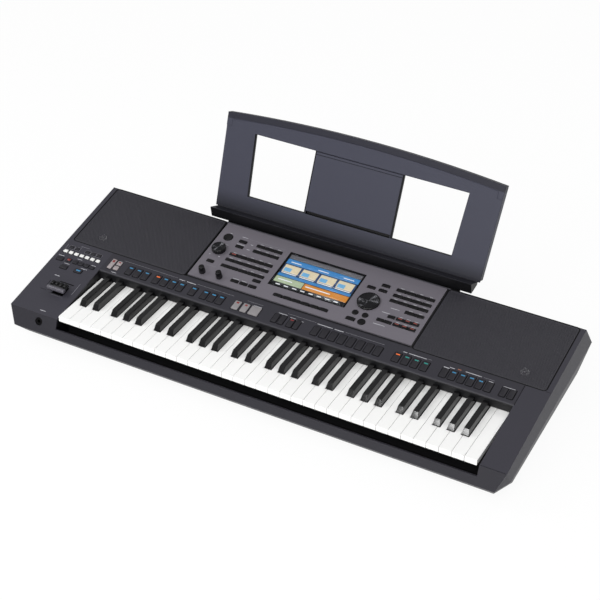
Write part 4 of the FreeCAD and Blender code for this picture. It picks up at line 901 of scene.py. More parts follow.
def put(name: str, surface: Surface, finish: Finish, body: str = CASE, replaces: Sequence[str] = (),
        smooth: float = 0.0) -> None:
    """Make a piece from a surface and let it ride on a body.

    Args:
        name: The piece's name.
        surface: Its surface.
        finish: Its finish.
        body: The body that carries it.
        replaces: Construction nodes that it stands for.
        smooth: Edges flatter than this angle in degrees are shaded smooth.
    """
    mesh = bpy.data.meshes.new(name)
    mesh.vertices.add(len(surface.points))
    mesh.vertices.foreach_set("co", surface.points.astype(np.float32).ravel())
    mesh.loops.add(surface.faces.size)
    mesh.loops.foreach_set("vertex_index", surface.faces.astype(np.int32).ravel())
    mesh.polygons.add(len(surface.faces))
    mesh.polygons.foreach_set("loop_start", np.arange(0, surface.faces.size, 3, dtype=np.int32))
    if surface.tints is not None:
        tint = mesh.attributes.new("tint", "FLOAT_COLOR", "POINT")
        tint.data.foreach_set("color", surface.tints.astype(np.float32).ravel())
    mesh.update(calc_edges=True)
    mesh.validate()
    if smooth:
        mesh.polygons.foreach_set("use_smooth", np.ones(len(mesh.polygons), dtype=bool))
        mesh.set_sharp_from_angle(angle=math.radians(smooth))
    mesh.materials.append(finish.material())
    piece = bpy.data.objects.new(name, mesh)
    bpy.context.scene.collection.objects.link(piece)
    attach(piece, body)
    if replaces:
        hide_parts(*replaces)
    log.info("%s: %d triangles on %s", name, len(surface.faces), body)


def dress(finish: Finish, nodes: Sequence[str], bevel: float = 0.0) -> None:
    """Give construction nodes a finish and, where asked, softly rounded edges.

    Args:
        finish: The finish.
        nodes: The nodes' names.
        bevel: Width of the rounding in millimetres.
    """
    for name in nodes:
        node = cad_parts[name]
        for place in node.material_slots:
            place.material = finish.material()
        if not node.material_slots:
            node.data.materials.append(finish.material())
        if bevel:
            weld = node.modifiers.new("Weld", "WELD")
            weld.merge_threshold = WELD_REACH
            edge = node.modifiers.new("Bevel", "BEVEL")
            edge.width = bevel * MM
            edge.segments = 2
            edge.limit_method = "ANGLE"
            edge.angle_limit = BEVEL_FROM
            node.modifiers.new("Normals", "WEIGHTED_NORMAL")
        log.info("%s: %s", name, finish.name)


# Sub-assemblies


@dataclass(frozen=True)
class CaseShell:
    """The case: base, rails, rear cover, panels, speakers, boards, sockets, feet and screws."""

    rounding: float = 0.6
    panel_rounding: float = 0.3
    centre_rounding: float = 0.4

    def dress(self) -> None:
        """Finish the case's nodes."""
        dress(Finishes.BASE, ("lower_case",))
        dress(Finishes.CASE, ("rear_panel",))
        dress(Finishes.CASE, ("left_end_rail", "right_end_rail", "right_cheek_panel"), self.rounding)
        dress(Finishes.PANEL, ("control_panel",), self.panel_rounding)
        dress(Finishes.CENTRE, ("centre_panel",), self.centre_rounding)
        dress(Finishes.INNER, ("speaker_trays", "joystick_base", "rear_jacks", "power_inlet"))
        dress(Finishes.SOCKET, ("headphone_jack",))
        dress(Finishes.STEEL, ("case_screws", "data_sockets"))
        dress(Finishes.RUBBER, ("rubber_feet",))
        dress(Finishes.BOARD, ("panel_boards", "main_board", "supply_board"))
        dress(Finishes.SPEAKER, ("woofers",))
        dress(Finishes.TWEETER, ("tweeters",))


@dataclass(frozen=True)
class KeyBed:
    """The keys and what carries them."""

    naturals: Sequence[str] = ("c", "d", "e", "f", "g", "a", "b")
    sharps: Sequence[str] = ("c_sharp", "d_sharp", "f_sharp", "g_sharp", "a_sharp")
    white_edge: float = 0.25
    black_edge: float = 1.3

    def dress(self) -> None:
        """Finish the keys and the bed."""
        dress(Finishes.WHITE_KEY, ["keys_" + key for key in self.naturals], self.white_edge)
        dress(Finishes.BLACK_KEY, ["keys_" + key for key in self.sharps], self.black_edge)
        dress(Finishes.FRAME, ("key_frame",))
        dress(Finishes.FELT, ("key_felt",))
        dress(Finishes.BOARD, ("key_contact_board",))
        dress(Finishes.STEEL, ("key_springs",))


class Side(Enum):
    """The two ends of the keyboard."""

    LEFT = -1
    RIGHT = 1


@dataclass(frozen=True)
class SpeakerGrille:
    """One perforated grille with the cloth behind it and the tweeter's trim ring."""

    side: Side
    inner: float = 240.0
    outer: float = 494.0
    front: float = 198.0
    rear: float = 360.5
    rim: float = 3.0
    rim_drop: float = 0.2
    rim_bevel: float = 0.4
    rim_edge: Profile = ((0.0, -0.8), (0.25, -0.2), (0.8, 0.0))
    corner: float = 5.0
    corner_steps: int = 5
    depth: float = 6.0
    lap: float = 2.1
    pitch: float = 3.0
    hole: float = 0.8
    sheet: float = 0.5
    sheet_top: float = -0.25
    cloth: tuple[float, float] = (-0.9, 0.3)
    joint_shadow: float = 2.2
    joint_shadow_gap: float = 0.05
    joint_shadow_height: tuple[float, float] = (-0.3, 0.04)
    tweeter: tuple[float, float] = (444.0, 226.0)
    radius: float = 8.5
    trim: Profile = ((7.3, -4.0), (8.2, -3.6), (8.1, -1.3), (7.6, -0.85), (6.6, -1.0), (5.7, -3.2),
                     (2.6, -3.2), (2.2, -1.2), (1.2, -0.85))
    trim_around: int = 48

    def build(self) -> None:
        """Make the rim, the perforated sheet, the cloth, a near-black strip round them as painted shadow in
        the joint, and the trim ring.
        """
        sign, word = self.side.value, self.side.name.lower()
        low, high = sorted((sign * self.inner, sign * self.outer))
        box = np.array([[(low + high) / 2, (self.front + self.rear) / 2, high - low, self.rear - self.front]])
        profile = [(self.rim, -self.rim_drop), (self.rim, -self.depth), (0.0, -self.depth), *self.rim_edge,
                   (self.rim - self.rim_bevel, 0.0)]
        rim = hoops(outlines(box, profile, self.corner, self.corner_steps))
        holes = perforated(self.within(low, high, self.lap), self.pitch, self.hole, self.sheet_top,
                           self.sheet)
        put(word + "_grille", merged([rim, holes]), Finishes.GRILLE, replaces=[word + "_speaker_grille"])
        tweeter = (sign * self.tweeter[0], self.tweeter[1])
        cloth = round_opening(self.within(low, high, self.rim), tweeter, self.radius, *self.cloth)
        put(word + "_grille_cloth", cloth, Finishes.CLOTH)
        # Painted shadow: a near-black strip over the joint round the grille stands for the shade in the gap
        joint = rings(box, self.joint_shadow, self.joint_shadow_gap, *self.joint_shadow_height, self.corner)
        put(word + "_grille_joint", joint, Finishes.BLACK_AND_SHADE)
        trim = turned(tweeter, self.trim, self.trim_around)
        put(word + "_tweeter_trim", trim, Finishes.TWEETER, smooth=SOFT)

    def within(self, low: float, high: float, inset: float) -> Box:
        """The grille's lowest u and v and highest u and v, drawn in by an inset."""
        return (low + inset, self.front + inset, high - inset, self.rear - inset)


class Cap(Enum):
    """What a button cap looks like."""

    DARK = Finishes.CAP_DARK
    BLACK = Finishes.CAP_BLACK
    GREY = Finishes.CAP_GREY
    WHITE = Finishes.CAP_WHITE
    PALE = Finishes.CAP_PALE


class Glow(Enum):
    """The colour a lens is lit in."""

    BLUE = Finishes.BLUE
    ORANGE = Finishes.ORANGE
    TEAL = Finishes.TEAL
    RED = Finishes.RED
    EMBER = Finishes.EMBER


class Row(NamedTuple):
    """Caps or lenses in a row: the first one's middle, the pitch, how many, their size and their look."""

    u: float
    v: float
    pitch: float
    count: int
    width: float
    length: float
    look: Cap | Glow = Cap.DARK

    def boxes(self) -> np.ndarray:
        """Set the pieces out along the row.

        Returns:
            One row of middle u, middle v, width and length for each piece.
        """
        along = self.u + np.arange(self.count) * self.pitch
        rest = np.broadcast_to([self.v, self.width, self.length], (self.count, 3))
        return np.column_stack([along, rest])


def gathered(rows: Sequence[Row], look: Cap | Glow | None = None) -> np.ndarray:
    """The boxes of all rows, or of those with one look."""
    return np.concatenate([row.boxes() for row in rows if look in (None, row.look)])


@dataclass(frozen=True)
class ButtonCluster:
    """Buttons that share one node: caps with rounded edges, near-black rings round them as painted shadow,
    and lit lenses on them.
    """

    name: str
    caps: Sequence[Row]
    lenses: Sequence[Row] = ()
    corner: float = 1.0
    shade_ring: float = 0.0
    shade_ring_gap: float = 0.45
    shade_ring_height: tuple[float, float] = (-0.3, 0.05)
    low: float = -6.0
    top: float = 1.4
    edge: float = 0.45
    edge_share: float = 0.3
    lens_side: Profile = ((0.0, -0.1), (0.0, 0.07), (0.1, 0.15))
    lens_corner: float = 0.6

    def build(self) -> None:
        """Make one mesh for each kind of cap, then the painted shadow rings and the lenses."""
        bend = self.edge * self.edge_share
        profile = [(0.0, self.low), (0.0, self.top - self.edge), (bend, self.top - bend),
                   (self.edge, self.top)]
        for number, cap in enumerate(dict.fromkeys(row.look for row in self.caps)):
            caps = plates(gathered(self.caps, cap), profile, self.corner)
            put("%s_%s" % (self.name, cap.name.lower()), caps, cap.value, self.name,
                [self.name] if number == 0 else [])
        # Painted shadow: a near-black ring lies on the panel round each cap, where the shade of the gap falls
        if self.shade_ring:
            shade_rings = rings(gathered(self.caps), self.shade_ring, self.shade_ring_gap, *self.shade_ring_height, self.corner)
            put(self.name + "_wells", shade_rings, Finishes.BLACK_AND_SHADE)
        shape = [(inset, self.top + rise) for inset, rise in self.lens_side]
        for glow in dict.fromkeys(row.look for row in self.lenses):
            put("%s_lens_%s" % (self.name, glow.name.lower()),
                plates(gathered(self.lenses, glow), shape, self.lens_corner), glow.value, self.name)


STRIP_V, STRIP_LENGTH, STRIP_LENS_V = 166.5, 22.0, 172.8
# Widths of the painted shadow rings round the caps
STRIP_SHADE_RING = 1.1
CHEEK_SHADE_RING = 0.8
CHEEK_V = 178.0
CHEEK_CAP = (9.5, 7.0)
CHEEK_TOP_ROW = ((-485.1, 13.6, 2), (-447.7, 13.3, 3))
BAR = 7.0
SINGLE = 16.5
MENU_PITCH, MENU_WIDTH = 18.85, 18.05
VOICE_PITCH, VOICE_WIDTH = 19.45, 18.65
PART_PITCH = 15.4


def strip(u: float, pitch: float, count: int, width: float = 12.0, look: Cap = Cap.DARK) -> Row:
    """Long caps on the strip over the keys."""
    return Row(u, STRIP_V, pitch, count, width, STRIP_LENGTH, look)


def lit(u: float, pitch: float, count: int, look: Glow, width: float = 7.5, length: float = 2.6) -> Row:
    """Lenses on the long caps."""
    return Row(u, STRIP_LENS_V, pitch, count, width, length, look)


def one(u: float, v: float, width: float, length: float, look: Cap | Glow = Cap.DARK) -> Row:
    """A single cap or lens."""
    return Row(u, v, 0.0, 1, width, length, look)


def bars(u: float, v: float, pitch: float, count: int, width: float) -> Row:
    """Flat black caps on the centre panel."""
    return Row(u, v, pitch, count, width, BAR, Cap.BLACK)


def clusters() -> list[ButtonCluster]:
    """All button clusters of the top, with the places of their caps and lenses.

    Returns:
        The clusters from the strip to the voice buttons.
    """
    black, pale, grey = Cap.BLACK, Cap.PALE, Cap.GREY
    return [
        ButtonCluster("style_buttons", [
            strip(-342.5, 18.0, 3), strip(-281.6, 17.8, 4), strip(-200.9, 0.0, 1), strip(-175.3, 17.2, 3)], [
            lit(-342.5, 18.0, 3, Glow.BLUE), lit(-281.6, 0.0, 1, Glow.ORANGE),
            lit(-263.8, 17.8, 3, Glow.BLUE), lit(-200.9, 0.0, 1, Glow.BLUE), lit(-175.3, 17.2, 3, Glow.BLUE)],
            shade_ring=STRIP_SHADE_RING),
        ButtonCluster("playback_buttons", [
            strip(-106.3, 18.0, 2, 13.0, grey), strip(-67.4, 0.0, 1, 20.0, grey), strip(-23.0, 13.8, 2, 10.0),
            strip(8.6, 12.8, 2, 10.0)], [
            lit(-106.3, 18.0, 2, Glow.RED, 5.0, 4.0), lit(8.6, 0.0, 1, Glow.RED, 6.5)], shade_ring=STRIP_SHADE_RING),
        ButtonCluster("memory_buttons", [strip(59.9, 18.1, 8, 12.5)], shade_ring=STRIP_SHADE_RING),
        ButtonCluster("setup_buttons", [strip(223.8, 18.3, 4, 12.5)], [
            lit(223.8, 0.0, 1, Glow.ORANGE), lit(242.1, 18.3, 3, Glow.TEAL)], shade_ring=STRIP_SHADE_RING),
        ButtonCluster("pad_buttons", [strip(316.1, 17.0, 6)], [lit(333.1, 17.0, 4, Glow.BLUE)],
                      shade_ring=STRIP_SHADE_RING),
        ButtonCluster("transpose_buttons", [strip(429.1, 15.0, 2, 10.5)], shade_ring=STRIP_SHADE_RING),
        ButtonCluster("tempo_pads", [
            one(-385.0, 169.0, 9.0, 26.0, pale), one(-371.7, 175.0, 10.0, 10.0, pale),
            one(-371.7, 162.0, 10.0, 10.0, pale)], [
            one(-385.0, 176.0, 5.0, 6.0, Glow.RED), one(-371.7, 177.0, 5.0, 3.0, Glow.RED)], shade_ring=CHEEK_SHADE_RING),
        ButtonCluster("cheek_buttons", [
            *(Row(u, CHEEK_V, pitch, count, *CHEEK_CAP) for u, pitch, count in CHEEK_TOP_ROW),
            one(-488.5, 142.0, 14.0, 9.0), one(-469.6, 144.5, 10.0, 8.0),
            Row(-454.2, 144.5, 12.8, 4, 9.5, 8.0), one(-468.1, 124.5, 15.0, 9.0),
            one(-435.5, 125.5, 16.0, 9.0)], [
            one(-469.6, 145.0, 6.5, 4.5, Glow.RED), one(-435.5, 126.5, 9.0, 3.4, Glow.BLUE)],
            shade_ring=CHEEK_SHADE_RING),
        ButtonCluster("white_buttons", [Row(-490.0, 164.3, 12.47, 7, 8.4, 6.8, Cap.WHITE)], shade_ring=CHEEK_SHADE_RING),
        ButtonCluster("menu_buttons", [
            bars(-180.5, 322.7, 0.0, 1, SINGLE), bars(-180.5, 308.0, 0.0, 1, SINGLE),
            *(bars(u, v, MENU_PITCH, count, MENU_WIDTH) for u, v, count in (
                (-141.4, 323.6, 3), (-141.4, 308.5, 3), (-179.1, 284.0, 5), (-179.1, 268.3, 5),
                (-179.1, 250.7, 2), (-141.4, 250.7, 3))),
            bars(-141.8, 221.4, 19.2, 3, SINGLE), bars(-103.4, 237.7, 0.0, 1, SINGLE),
            bars(-213.0, 251.6, 0.0, 1, 15.0)], [one(-179.1, 285.0, 9.0, 2.0, Glow.EMBER)]),
        ButtonCluster("screen_buttons", [
            bars(-48.1, 220.6, 19.25, 6, 18.45), bars(103.6, 308.2, 23.8, 2, SINGLE),
            bars(127.4, 322.3, 0.0, 1, SINGLE), one(104.3, 220.1, 18.0, 8.0, black),
            Row(105.2, 238.0, 20.2, 2, 12.0, 12.0, black), one(126.7, 220.3, 15.0, 15.0, black)], corner=7.5),
        ButtonCluster("voice_buttons", [
            *(bars(u, v, VOICE_PITCH, count, VOICE_WIDTH) for u, v, count in (
                (159.1, 321.3, 4), (159.1, 306.2, 4), (159.1, 291.8, 4), (198.0, 274.4, 2))),
            bars(171.7, 252.9, 0.0, 1, 14.4), bars(156.1, 238.4, PART_PITCH, 2, 14.4),
            bars(188.7, 252.9, PART_PITCH, 3, 14.6), bars(188.7, 238.4, PART_PITCH, 3, 14.6)],
            [Row(188.7, v, PART_PITCH, 3, 8.0, 1.8, Glow.EMBER) for v in (254.2, 239.7)]),
    ]


@dataclass(frozen=True)
class Dials:
    """The two dials, the two assign knobs and the power button, as profiles of radius and height."""

    volume: tuple[float, float] = (-213.0, 285.5)
    volume_side: Profile = ((13.2, 0.5), (14.0, 1.0), (14.0, 7.6), (13.4, 8.7), (12.9, 9.0), (12.4, 8.8),
                            (12.2, 8.2))
    volume_face: Triple = (12.1, 8.75, 0.4)
    volume_around: int = 72
    knobs: Sequence[tuple[str, float]] = (("left_assign_knob", -211.2), ("right_assign_knob", -173.8))
    knob_v: float = 218.5
    knob_side: Profile = ((6.3, 0.5), (6.5, 1.0), (6.1, 8.0), (5.6, 15.2), (5.2, 15.8), (4.6, 16.0),
                          (1.0, 15.8))
    knob_ribs: tuple[int, float] = (18, 0.35)
    knob_around: int = 72
    data: tuple[float, float] = (115.6, 272.0)
    data_side: Profile = ((21.2, -0.5), (21.8, 0.0), (21.8, 3.0), (21.2, 3.8), (20.4, 4.0), (19.5, 3.7),
                          (19.2, 1.4))
    data_face: Triple = (19.1, 3.6, 0.15)
    data_dent: Box = (-7.4, -7.4, 7.0, 1.3)
    data_around: int = 96
    power: tuple[float, float] = (-214.2, 323.3)
    power_side: Profile = ((9.5, -5.5), (9.5, 0.9), (9.1, 1.4), (8.4, 1.5), (7.6, 1.3), (4.0, 0.75),
                           (0.6, 0.6))
    power_around: int = 64
    power_soft: float = 30.0
    groove_step: float = 0.3
    groove: float = 0.14
    face_wall: float = 2.0
    face_around: int = 96
    face_soft: float = 3.0

    def build(self) -> None:
        """Make the turned pieces."""
        self.side("volume_dial", turned(self.volume, self.volume_side, self.volume_around))
        self.face("volume_dial", self.volume, *self.volume_face)
        for name, u in self.knobs:
            self.side(name, turned((u, self.knob_v), self.knob_side, self.knob_around, *self.knob_ribs))
        self.side("data_dial", turned(self.data, self.data_side, self.data_around))
        self.face("data_dial", self.data, *self.data_face, self.data_dent)
        power = turned(self.power, self.power_side, self.power_around)
        self.side("power_button", power, self.power_soft)

    def side(self, node: str, surface: Surface, smooth: float = SOFT) -> None:
        """Put a turned piece in a node's place."""
        put(node + "_turned", surface, Finishes.KNOB, node, [node], smooth)

    def face(self, dial: str, centre: tuple[float, float], radius: float, height: float, dish: float,
             dent: Box | None = None) -> None:
        """Lay a spun metal disc into a dial's top: fine grooves that go up and down over a parabolic dish.

        Args:
            dial: The dial that carries it.
            centre: Where the dial's axis stands.
            radius: The disc's radius.
            height: The disc's height at its edge.
            dish: How far its middle lies below the edge.
            dent: A finger dent, as a turned piece has it.
        """
        along = np.arange(radius, self.groove_step, -self.groove_step)
        sway = self.groove * (np.arange(len(along)) % 2)
        spun = np.stack([along, height - sway - dish * (1 - (along / radius) ** 2)], axis=-1)
        profile = np.concatenate([[[radius, height - self.face_wall]], spun])
        disc = turned(centre, profile, self.face_around, dent=dent)
        put(dial + "_face", disc, Finishes.SPUN, dial, smooth=self.face_soft)


class Patch(NamedTuple):
    """One coloured patch of the display: left, front, right, rear and colour."""

    left: float
    front: float
    right: float
    rear: float
    colour: Colour


@dataclass(frozen=True)
class Display:
    """The screen: cover glass over a display with a plain picture of bands, tiles and bars."""

    half: float = 80.5
    front: float = 241.0
    rear: float = 333.5
    picture_half: float = 76.5
    top: float = -2.12
    layer: float = 0.01
    base: float = 5.05
    sheet: float = 0.05
    patch_corner: float = 0.3
    gasket: float = 1.6
    gasket_gap: float = -1.0
    gasket_corner: float = 0.5
    gasket_height: tuple[float, float] = (-0.3, 0.36)

    def patches(self) -> list[Patch]:
        """The picture: a black border, a status row, blue bands, four pale tiles, bars and a row of dots.

        Returns:
            The patches from the lowest layer up.
        """
        blue, deep, sky = tone(58, 128, 188), tone(30, 62, 104), tone(110, 172, 214)
        cream, grey, white = tone(222, 206, 172), tone(96, 95, 100), tone(232, 234, 236)
        orange, lime, dark = tone(208, 132, 42), tone(170, 184, 150), tone(16, 17, 20)
        edge = self.picture_half
        found = [Patch(-79.5, 242.0, 79.5, 332.5, tone(8, 8, 10))]
        found += [Patch(-edge, front, edge, rear, colour) for front, rear, colour in (
            (244.5, 330.0, dark), (319.5, 330.0, grey), (305.5, 318.5, blue), (279.0, 304.5, deep),
            (271.0, 278.0, blue))]
        found += [Patch(-16.0, 254.0, edge, 269.5, orange), Patch(-edge, 254.0, -17.5, 269.5, lime)]
        left = -74.0 + np.arange(4) * 38.0
        found += [Patch(u, 283.0, u + 33.0, 303.0, cream) for u in left]
        found += [Patch(u + 2.0, 285.0, u + 17.0, 295.0, sky) for u in left]
        found += [Patch(u + 1.0, 279.6, u + 32.0, 281.8, white) for u in left]
        found += [Patch(u, 310.5, u + 22.0, 312.5, white) for u in (-68.0, -10.0, 44.0)]
        found += [Patch(u, 247.5, u + 9.0, 250.0, white) for u in np.arange(-68.0, 64.0, 17.5)]
        found += [Patch(-12.0, 261.0, 40.0, 263.5, white), Patch(-70.0, 261.0, -40.0, 263.5, white)]
        return found

    def build(self) -> None:
        """Lay the patches in thin layers, the later ones above, and finish the glass."""
        layers = []
        for number, patch in enumerate(self.patches()):
            box = np.array([(patch.left + patch.right) / 2, (patch.front + patch.rear) / 2,
                            patch.right - patch.left, patch.rear - patch.front])
            high = self.top + self.layer * number
            low = high - (self.sheet if number else self.base)
            shape = plates(box, [(0.0, low), (0.0, high)], self.patch_corner, 1)
            layers.append(Surface(shape.points, shape.faces, np.tile(patch.colour, (len(shape.points), 1))))
        put("display_picture", merged(layers), Finishes.PICTURE, replaces=["lcd_module"])
        edge = np.array([[0.0, (self.front + self.rear) / 2, 2 * self.half, self.rear - self.front]])
        gasket = rings(edge, self.gasket, self.gasket_gap, *self.gasket_height, self.gasket_corner)
        put("display_gasket", gasket, Finishes.BLACK_AND_SHADE)
        dress(Finishes.GLASS, ("screen_glass",))


Mark = tuple[float, float, float, float, float]


@dataclass(frozen=True)
class MarksAndPaintedLight:
    """Plain dashes and lines on the top, mostly print, some painted shadow and one painted highlight: each
    has two ends, as u and v, and a width.
    """

    low: float = -0.1
    height: float = 0.06
    corner: float = 0.3
    pale: Sequence[Mark] = (
        (-242, 184.5, -229, 184.5, 1.6), (-225, 184.5, -205, 184.5, 1.6), (-376, 150.5, -364, 150.5, 1.4),
        (-375, 181, -368, 181, 1.4), (-76, 179.3, -58.5, 179.3, 1.4), (-24, 181.3, -6, 181.3, 1.4),
        (1.3, 179, 12.8, 179, 1.4), (15, 177.6, 30, 177.6, 1.4), (55, 184.5, 86.5, 184.5, 1.6),
        (90, 184.5, 109, 184.5, 1.6), (229, 184, 237, 184, 1.6), (240, 184, 275.5, 184, 1.6),
        (310, 179.5, 321, 179.5, 2.2), (320, 182.5, 330, 182.5, 1.6), (350, 184, 381, 184, 1.6),
        (396, 179.5, 405, 179.5, 1.4), (424, 178.8, 447, 178.8, 1.4), (-498, 151, -484.5, 151, 1.3),
        (-474, 135, -462, 135, 1.3), (-435, 135, -421, 135, 1.3), (-456, 154.5, -445, 154.5, 1.3),
        (-421, 150, -410, 150, 1.3), (-473, 100, -461, 100, 1.5), (-444, 9, -431, 9, 1.6),
        (149.6, 259, 167, 259, 1.3), (160, 274, 178, 274, 1.3), (147, 227, 171, 227, 1.3),
        (-149.5, 227.5, -135, 227.5, 1.3), (-130, 227.5, -119, 227.5, 1.3), (-189, 335, -176, 335, 1.3),
        (-190, 314.3, -172, 314.3, 1.3), (-163, 321.5, -157.5, 321.5, 1.3), (-164, 307.3, -157.5, 307.3, 1.3),
        (-207, 303.5, -203, 303.5, 1.2), (-226, 268.7, -222, 268.7, 1.2), (-205.5, 268.7, -201.5, 268.7, 1.2),
        (-216, 335.2, -211, 335.2, 1.4))
    # Dim print; the line at u -411.2 is a painted highlight along the right edge of the joystick's recess
    dim: Sequence[Mark] = (
        (-367, 186.3, -246, 186.3, 0.6), (-203, 186.3, -122, 186.3, 0.6), (-93, 185.5, -59, 185.5, 0.6),
        (-7, 186, 52, 186, 0.6), (112, 185.5, 191, 185.5, 0.6), (277, 185, 284.5, 185, 0.6),
        (384, 184, 405, 184, 0.6), (-496, 172, -496, 184, 0.6), (-466, 174, -466, 187, 0.6),
        (-469, 187.5, -449, 187.5, 0.6), (-411.2, 66, -411.2, 98, 0.8), (-214, 240.5, -192, 240.5, 0.8),
        (-172, 334.5, -94, 334.5, 0.6))
    warm: Sequence[Mark] = ((335, 184, 342, 184, 1.6),)
    # Near-black lines: the first three follow the right cheek's joints, the last three are painted shadow
    # along the edges of the joystick's recess
    seams_and_shadows: Sequence[Mark] = (
        (457.3, 145, 457.3, 196, 0.9), (457.3, 1.0, 504, 1.0, 0.9), (495, 196.4, 505, 196.4, 0.9),
        (-453, 88.6, -420, 88.6, 2.4), (-471, 71, -471, 84, 1.2), (-478, 58.5, -465, 58.5, 0.9))
    over_bars: Sequence[tuple[float, float, float, int]] = (
        (-141.4, 329.8, MENU_PITCH, 3), (-141.4, 314.7, MENU_PITCH, 3), (-179.1, 290.2, MENU_PITCH, 5),
        (-179.1, 274.5, MENU_PITCH, 5), (-141.4, 256.9, MENU_PITCH, 3), (159.1, 327.5, VOICE_PITCH, 4),
        (159.1, 312.4, VOICE_PITCH, 4), (159.1, 298.0, VOICE_PITCH, 4), (198.0, 280.6, VOICE_PITCH, 2),
        (188.7, 259.1, PART_PITCH, 3), (188.7, 244.6, PART_PITCH, 3))
    dash: tuple[float, float] = (7.5, 1.1)
    frame_width: float = 0.5
    frame_gap: float = 0.9
    frame_corner: float = 1.0

    def thin(self, boxes: np.ndarray) -> Surface:
        """Thin plates over boxes."""
        return plates(boxes, [(0.0, self.low), (0.0, self.height)], self.corner, 1)

    def lines(self, marks: Sequence[Mark]) -> Surface:
        """Thin plates over the marks' boxes: the longer side is the line and the other one its width.

        Args:
            marks: The marks of one ink.

        Returns:
            The plates on the sloping top.
        """
        ends = np.array(marks, dtype=float)
        middle = (ends[:, 0:2] + ends[:, 2:4]) / 2
        size = np.maximum(np.abs(ends[:, 2:4] - ends[:, 0:2]), ends[:, 4:5])
        return self.thin(np.column_stack([middle, size]))

    def build(self) -> None:
        """Make the marks, one mesh for each ink; the near-black lines are seams and painted shadow."""
        small = self.thin(gathered([Row(*row, *self.dash) for row in self.over_bars]))
        put("marks_pale", merged([self.lines(self.pale), small]), Finishes.INK)
        caps = gathered([Row(u, CHEEK_V, pitch, count, *CHEEK_CAP) for u, pitch, count in CHEEK_TOP_ROW])
        frames = rings(caps, self.frame_width, self.frame_gap, self.low, self.height, self.frame_corner)
        put("marks_dim", merged([self.lines(self.dim), frames]), Finishes.INK_DIM)
        put("marks_warm", self.lines(self.warm), Finishes.INK_WARM)
        put("panel_joints", self.lines(self.seams_and_shadows), Finishes.BLACK_AND_SHADE)


@dataclass(frozen=True)
class Joystick:
    """The joystick: a round grey front, a black ribbed saddle behind it, the stem and the gimbal."""

    middle_u: float = -439.6
    width: float = 39.0
    roll_v: float = 59.2
    roll_w: float = 10.4
    radius: float = 4.6
    around: int = 28
    clear: float = 6.6
    rise: float = 0.09
    share: Sequence[float] = (-1.0, -0.985, -0.95, -0.5, 0.0, 0.5, 0.95, 0.985, 1.0)
    shrink: Sequence[float] = (0.7, 0.9, 1.0, 1.0, 1.0, 1.0, 1.0, 0.9, 0.7)
    saddle: Box = (-439.6, 69.0, 38.0, 15.0)
    saddle_corner: float = 1.5
    saddle_side: Profile = ((1.0, 8.7), (0.0, 9.3), (0.0, 11.4), (0.8, 12.2))
    ribs: Row = Row(-453.55, 71.4, 9.3, 4, 5.6, 9.0)
    rib_corner: float = 1.0
    rib_side: Profile = ((0.0, 11.4), (0.0, 13.8), (0.6, 14.4))
    stem: Box = (-437.6, 66.2, 8.0, 8.0)
    stem_corner: float = 0.5
    stem_side: Profile = ((0.0, -33.0), (0.0, 9.6))
    apron: Box = (-437.6, 53.6, 31.0, 4.4)
    apron_side: Profile = ((0.0, -0.3), (0.0, 0.1))

    def build(self) -> None:
        """Make the round front, the saddle with its ribs and stem, and the plate before the opening."""
        put("joystick_roll", self.roll(), Finishes.PADDLE, "joystick_paddle", ["joystick_paddle"],
            smooth=SOFT)
        saddle = merged([plates(np.array(self.saddle), self.saddle_side, self.saddle_corner),
                         plates(self.ribs.boxes(), self.rib_side, self.rib_corner),
                         plates(np.array(self.stem), self.stem_side, self.stem_corner)])
        put("joystick_saddle", saddle, Finishes.SADDLE, "joystick_paddle")
        apron = plates(np.array(self.apron), self.apron_side, self.stem_corner)
        put("joystick_apron", apron, Finishes.PANEL)
        dress(Finishes.INNER, ("joystick_gimbal",))

    def roll(self) -> Surface:
        """A round bar along u: circles that shrink at both ends and are cut off below, higher at the ends.

        Returns:
            The closed bar.
        """
        share = np.array(self.share)
        size = self.radius * np.array(self.shrink)[:, None]
        turn = np.arange(self.around) * 2 * math.pi / self.around
        u = np.broadcast_to((self.middle_u + share * self.width / 2)[:, None], (len(share), len(turn)))
        v = self.roll_v + size * np.cos(turn)
        w = self.roll_w + size * np.sin(turn)
        floor = self.clear + self.rise * np.abs(share) * self.width / 2
        return columns(np.stack([u, v, np.maximum(w, floor[:, None])], axis=-1)[None])


@dataclass(frozen=True)
class MusicRest:
    """The music rest that stands behind the top, with the rims of its windows and two lines at the top of its
    middle, both in painted shadow.
    """

    rounding: float = 0.8
    window: Profile = ((93.0, 33.0), (219.0, 33.0), (227.0, 157.0), (93.0, 157.0))
    liner: float = 0.15
    rim: float = 3.0
    rim_depth: float = 10.0
    liner_top: float = -0.2
    rim_top: float = -2.0
    joints: Sequence[Box] = ((0.0, 156.2, 185.0, 1.6), (0.0, 150.5, 185.0, 1.0))
    shadow_line_side: Profile = ((0.0, -1.6), (0.0, -1.12))
    shadow_line_corner: float = 0.3

    def build(self) -> None:
        """Finish the rest, line its windows and draw two lines at the top of its middle, both dark as painted
        shadow.
        """
        dress(Finishes.REST, ("music_rest",), self.rounding)
        # Painted shadow: the window rims and the two lines take the near-black rest_shadow finish
        put("rest_window_rims", self.rims(), Finishes.REST_DARK, "music_rest")
        joints = plates(np.array(self.joints), self.shadow_line_side, self.shadow_line_corner, 1, REST_FACE)
        put("rest_joints", joints, Finishes.REST_DARK, "music_rest")

    def rims(self) -> Surface:
        """Four-sided bands: each lines a window from just behind the face and stands out at the back.

        Returns:
            Both bands on the rest's face.
        """
        corner = np.array(self.window)
        away = np.array([(-1.0, -1.0), (1.0, -1.0), (1.0, 1.0), (-1.0, 1.0)])
        section = ((-self.liner, self.liner_top), (-self.liner, -self.rim_depth), (self.rim, -self.rim_depth),
                   (self.rim, self.rim_top))
        right = np.stack([np.column_stack([corner + out * away, np.full(4, depth)])
                          for out, depth in section])
        left = right[:, ::-1] * np.array([-1.0, 1.0, 1.0])
        return hoops(np.stack([right, left]), REST_FACE)


# The studio


class Softbox(NamedTuple):
    """A soft lamp: where it stands, its width, height and power."""

    name: str
    place: Triple
    width: float
    height: float
    power: float


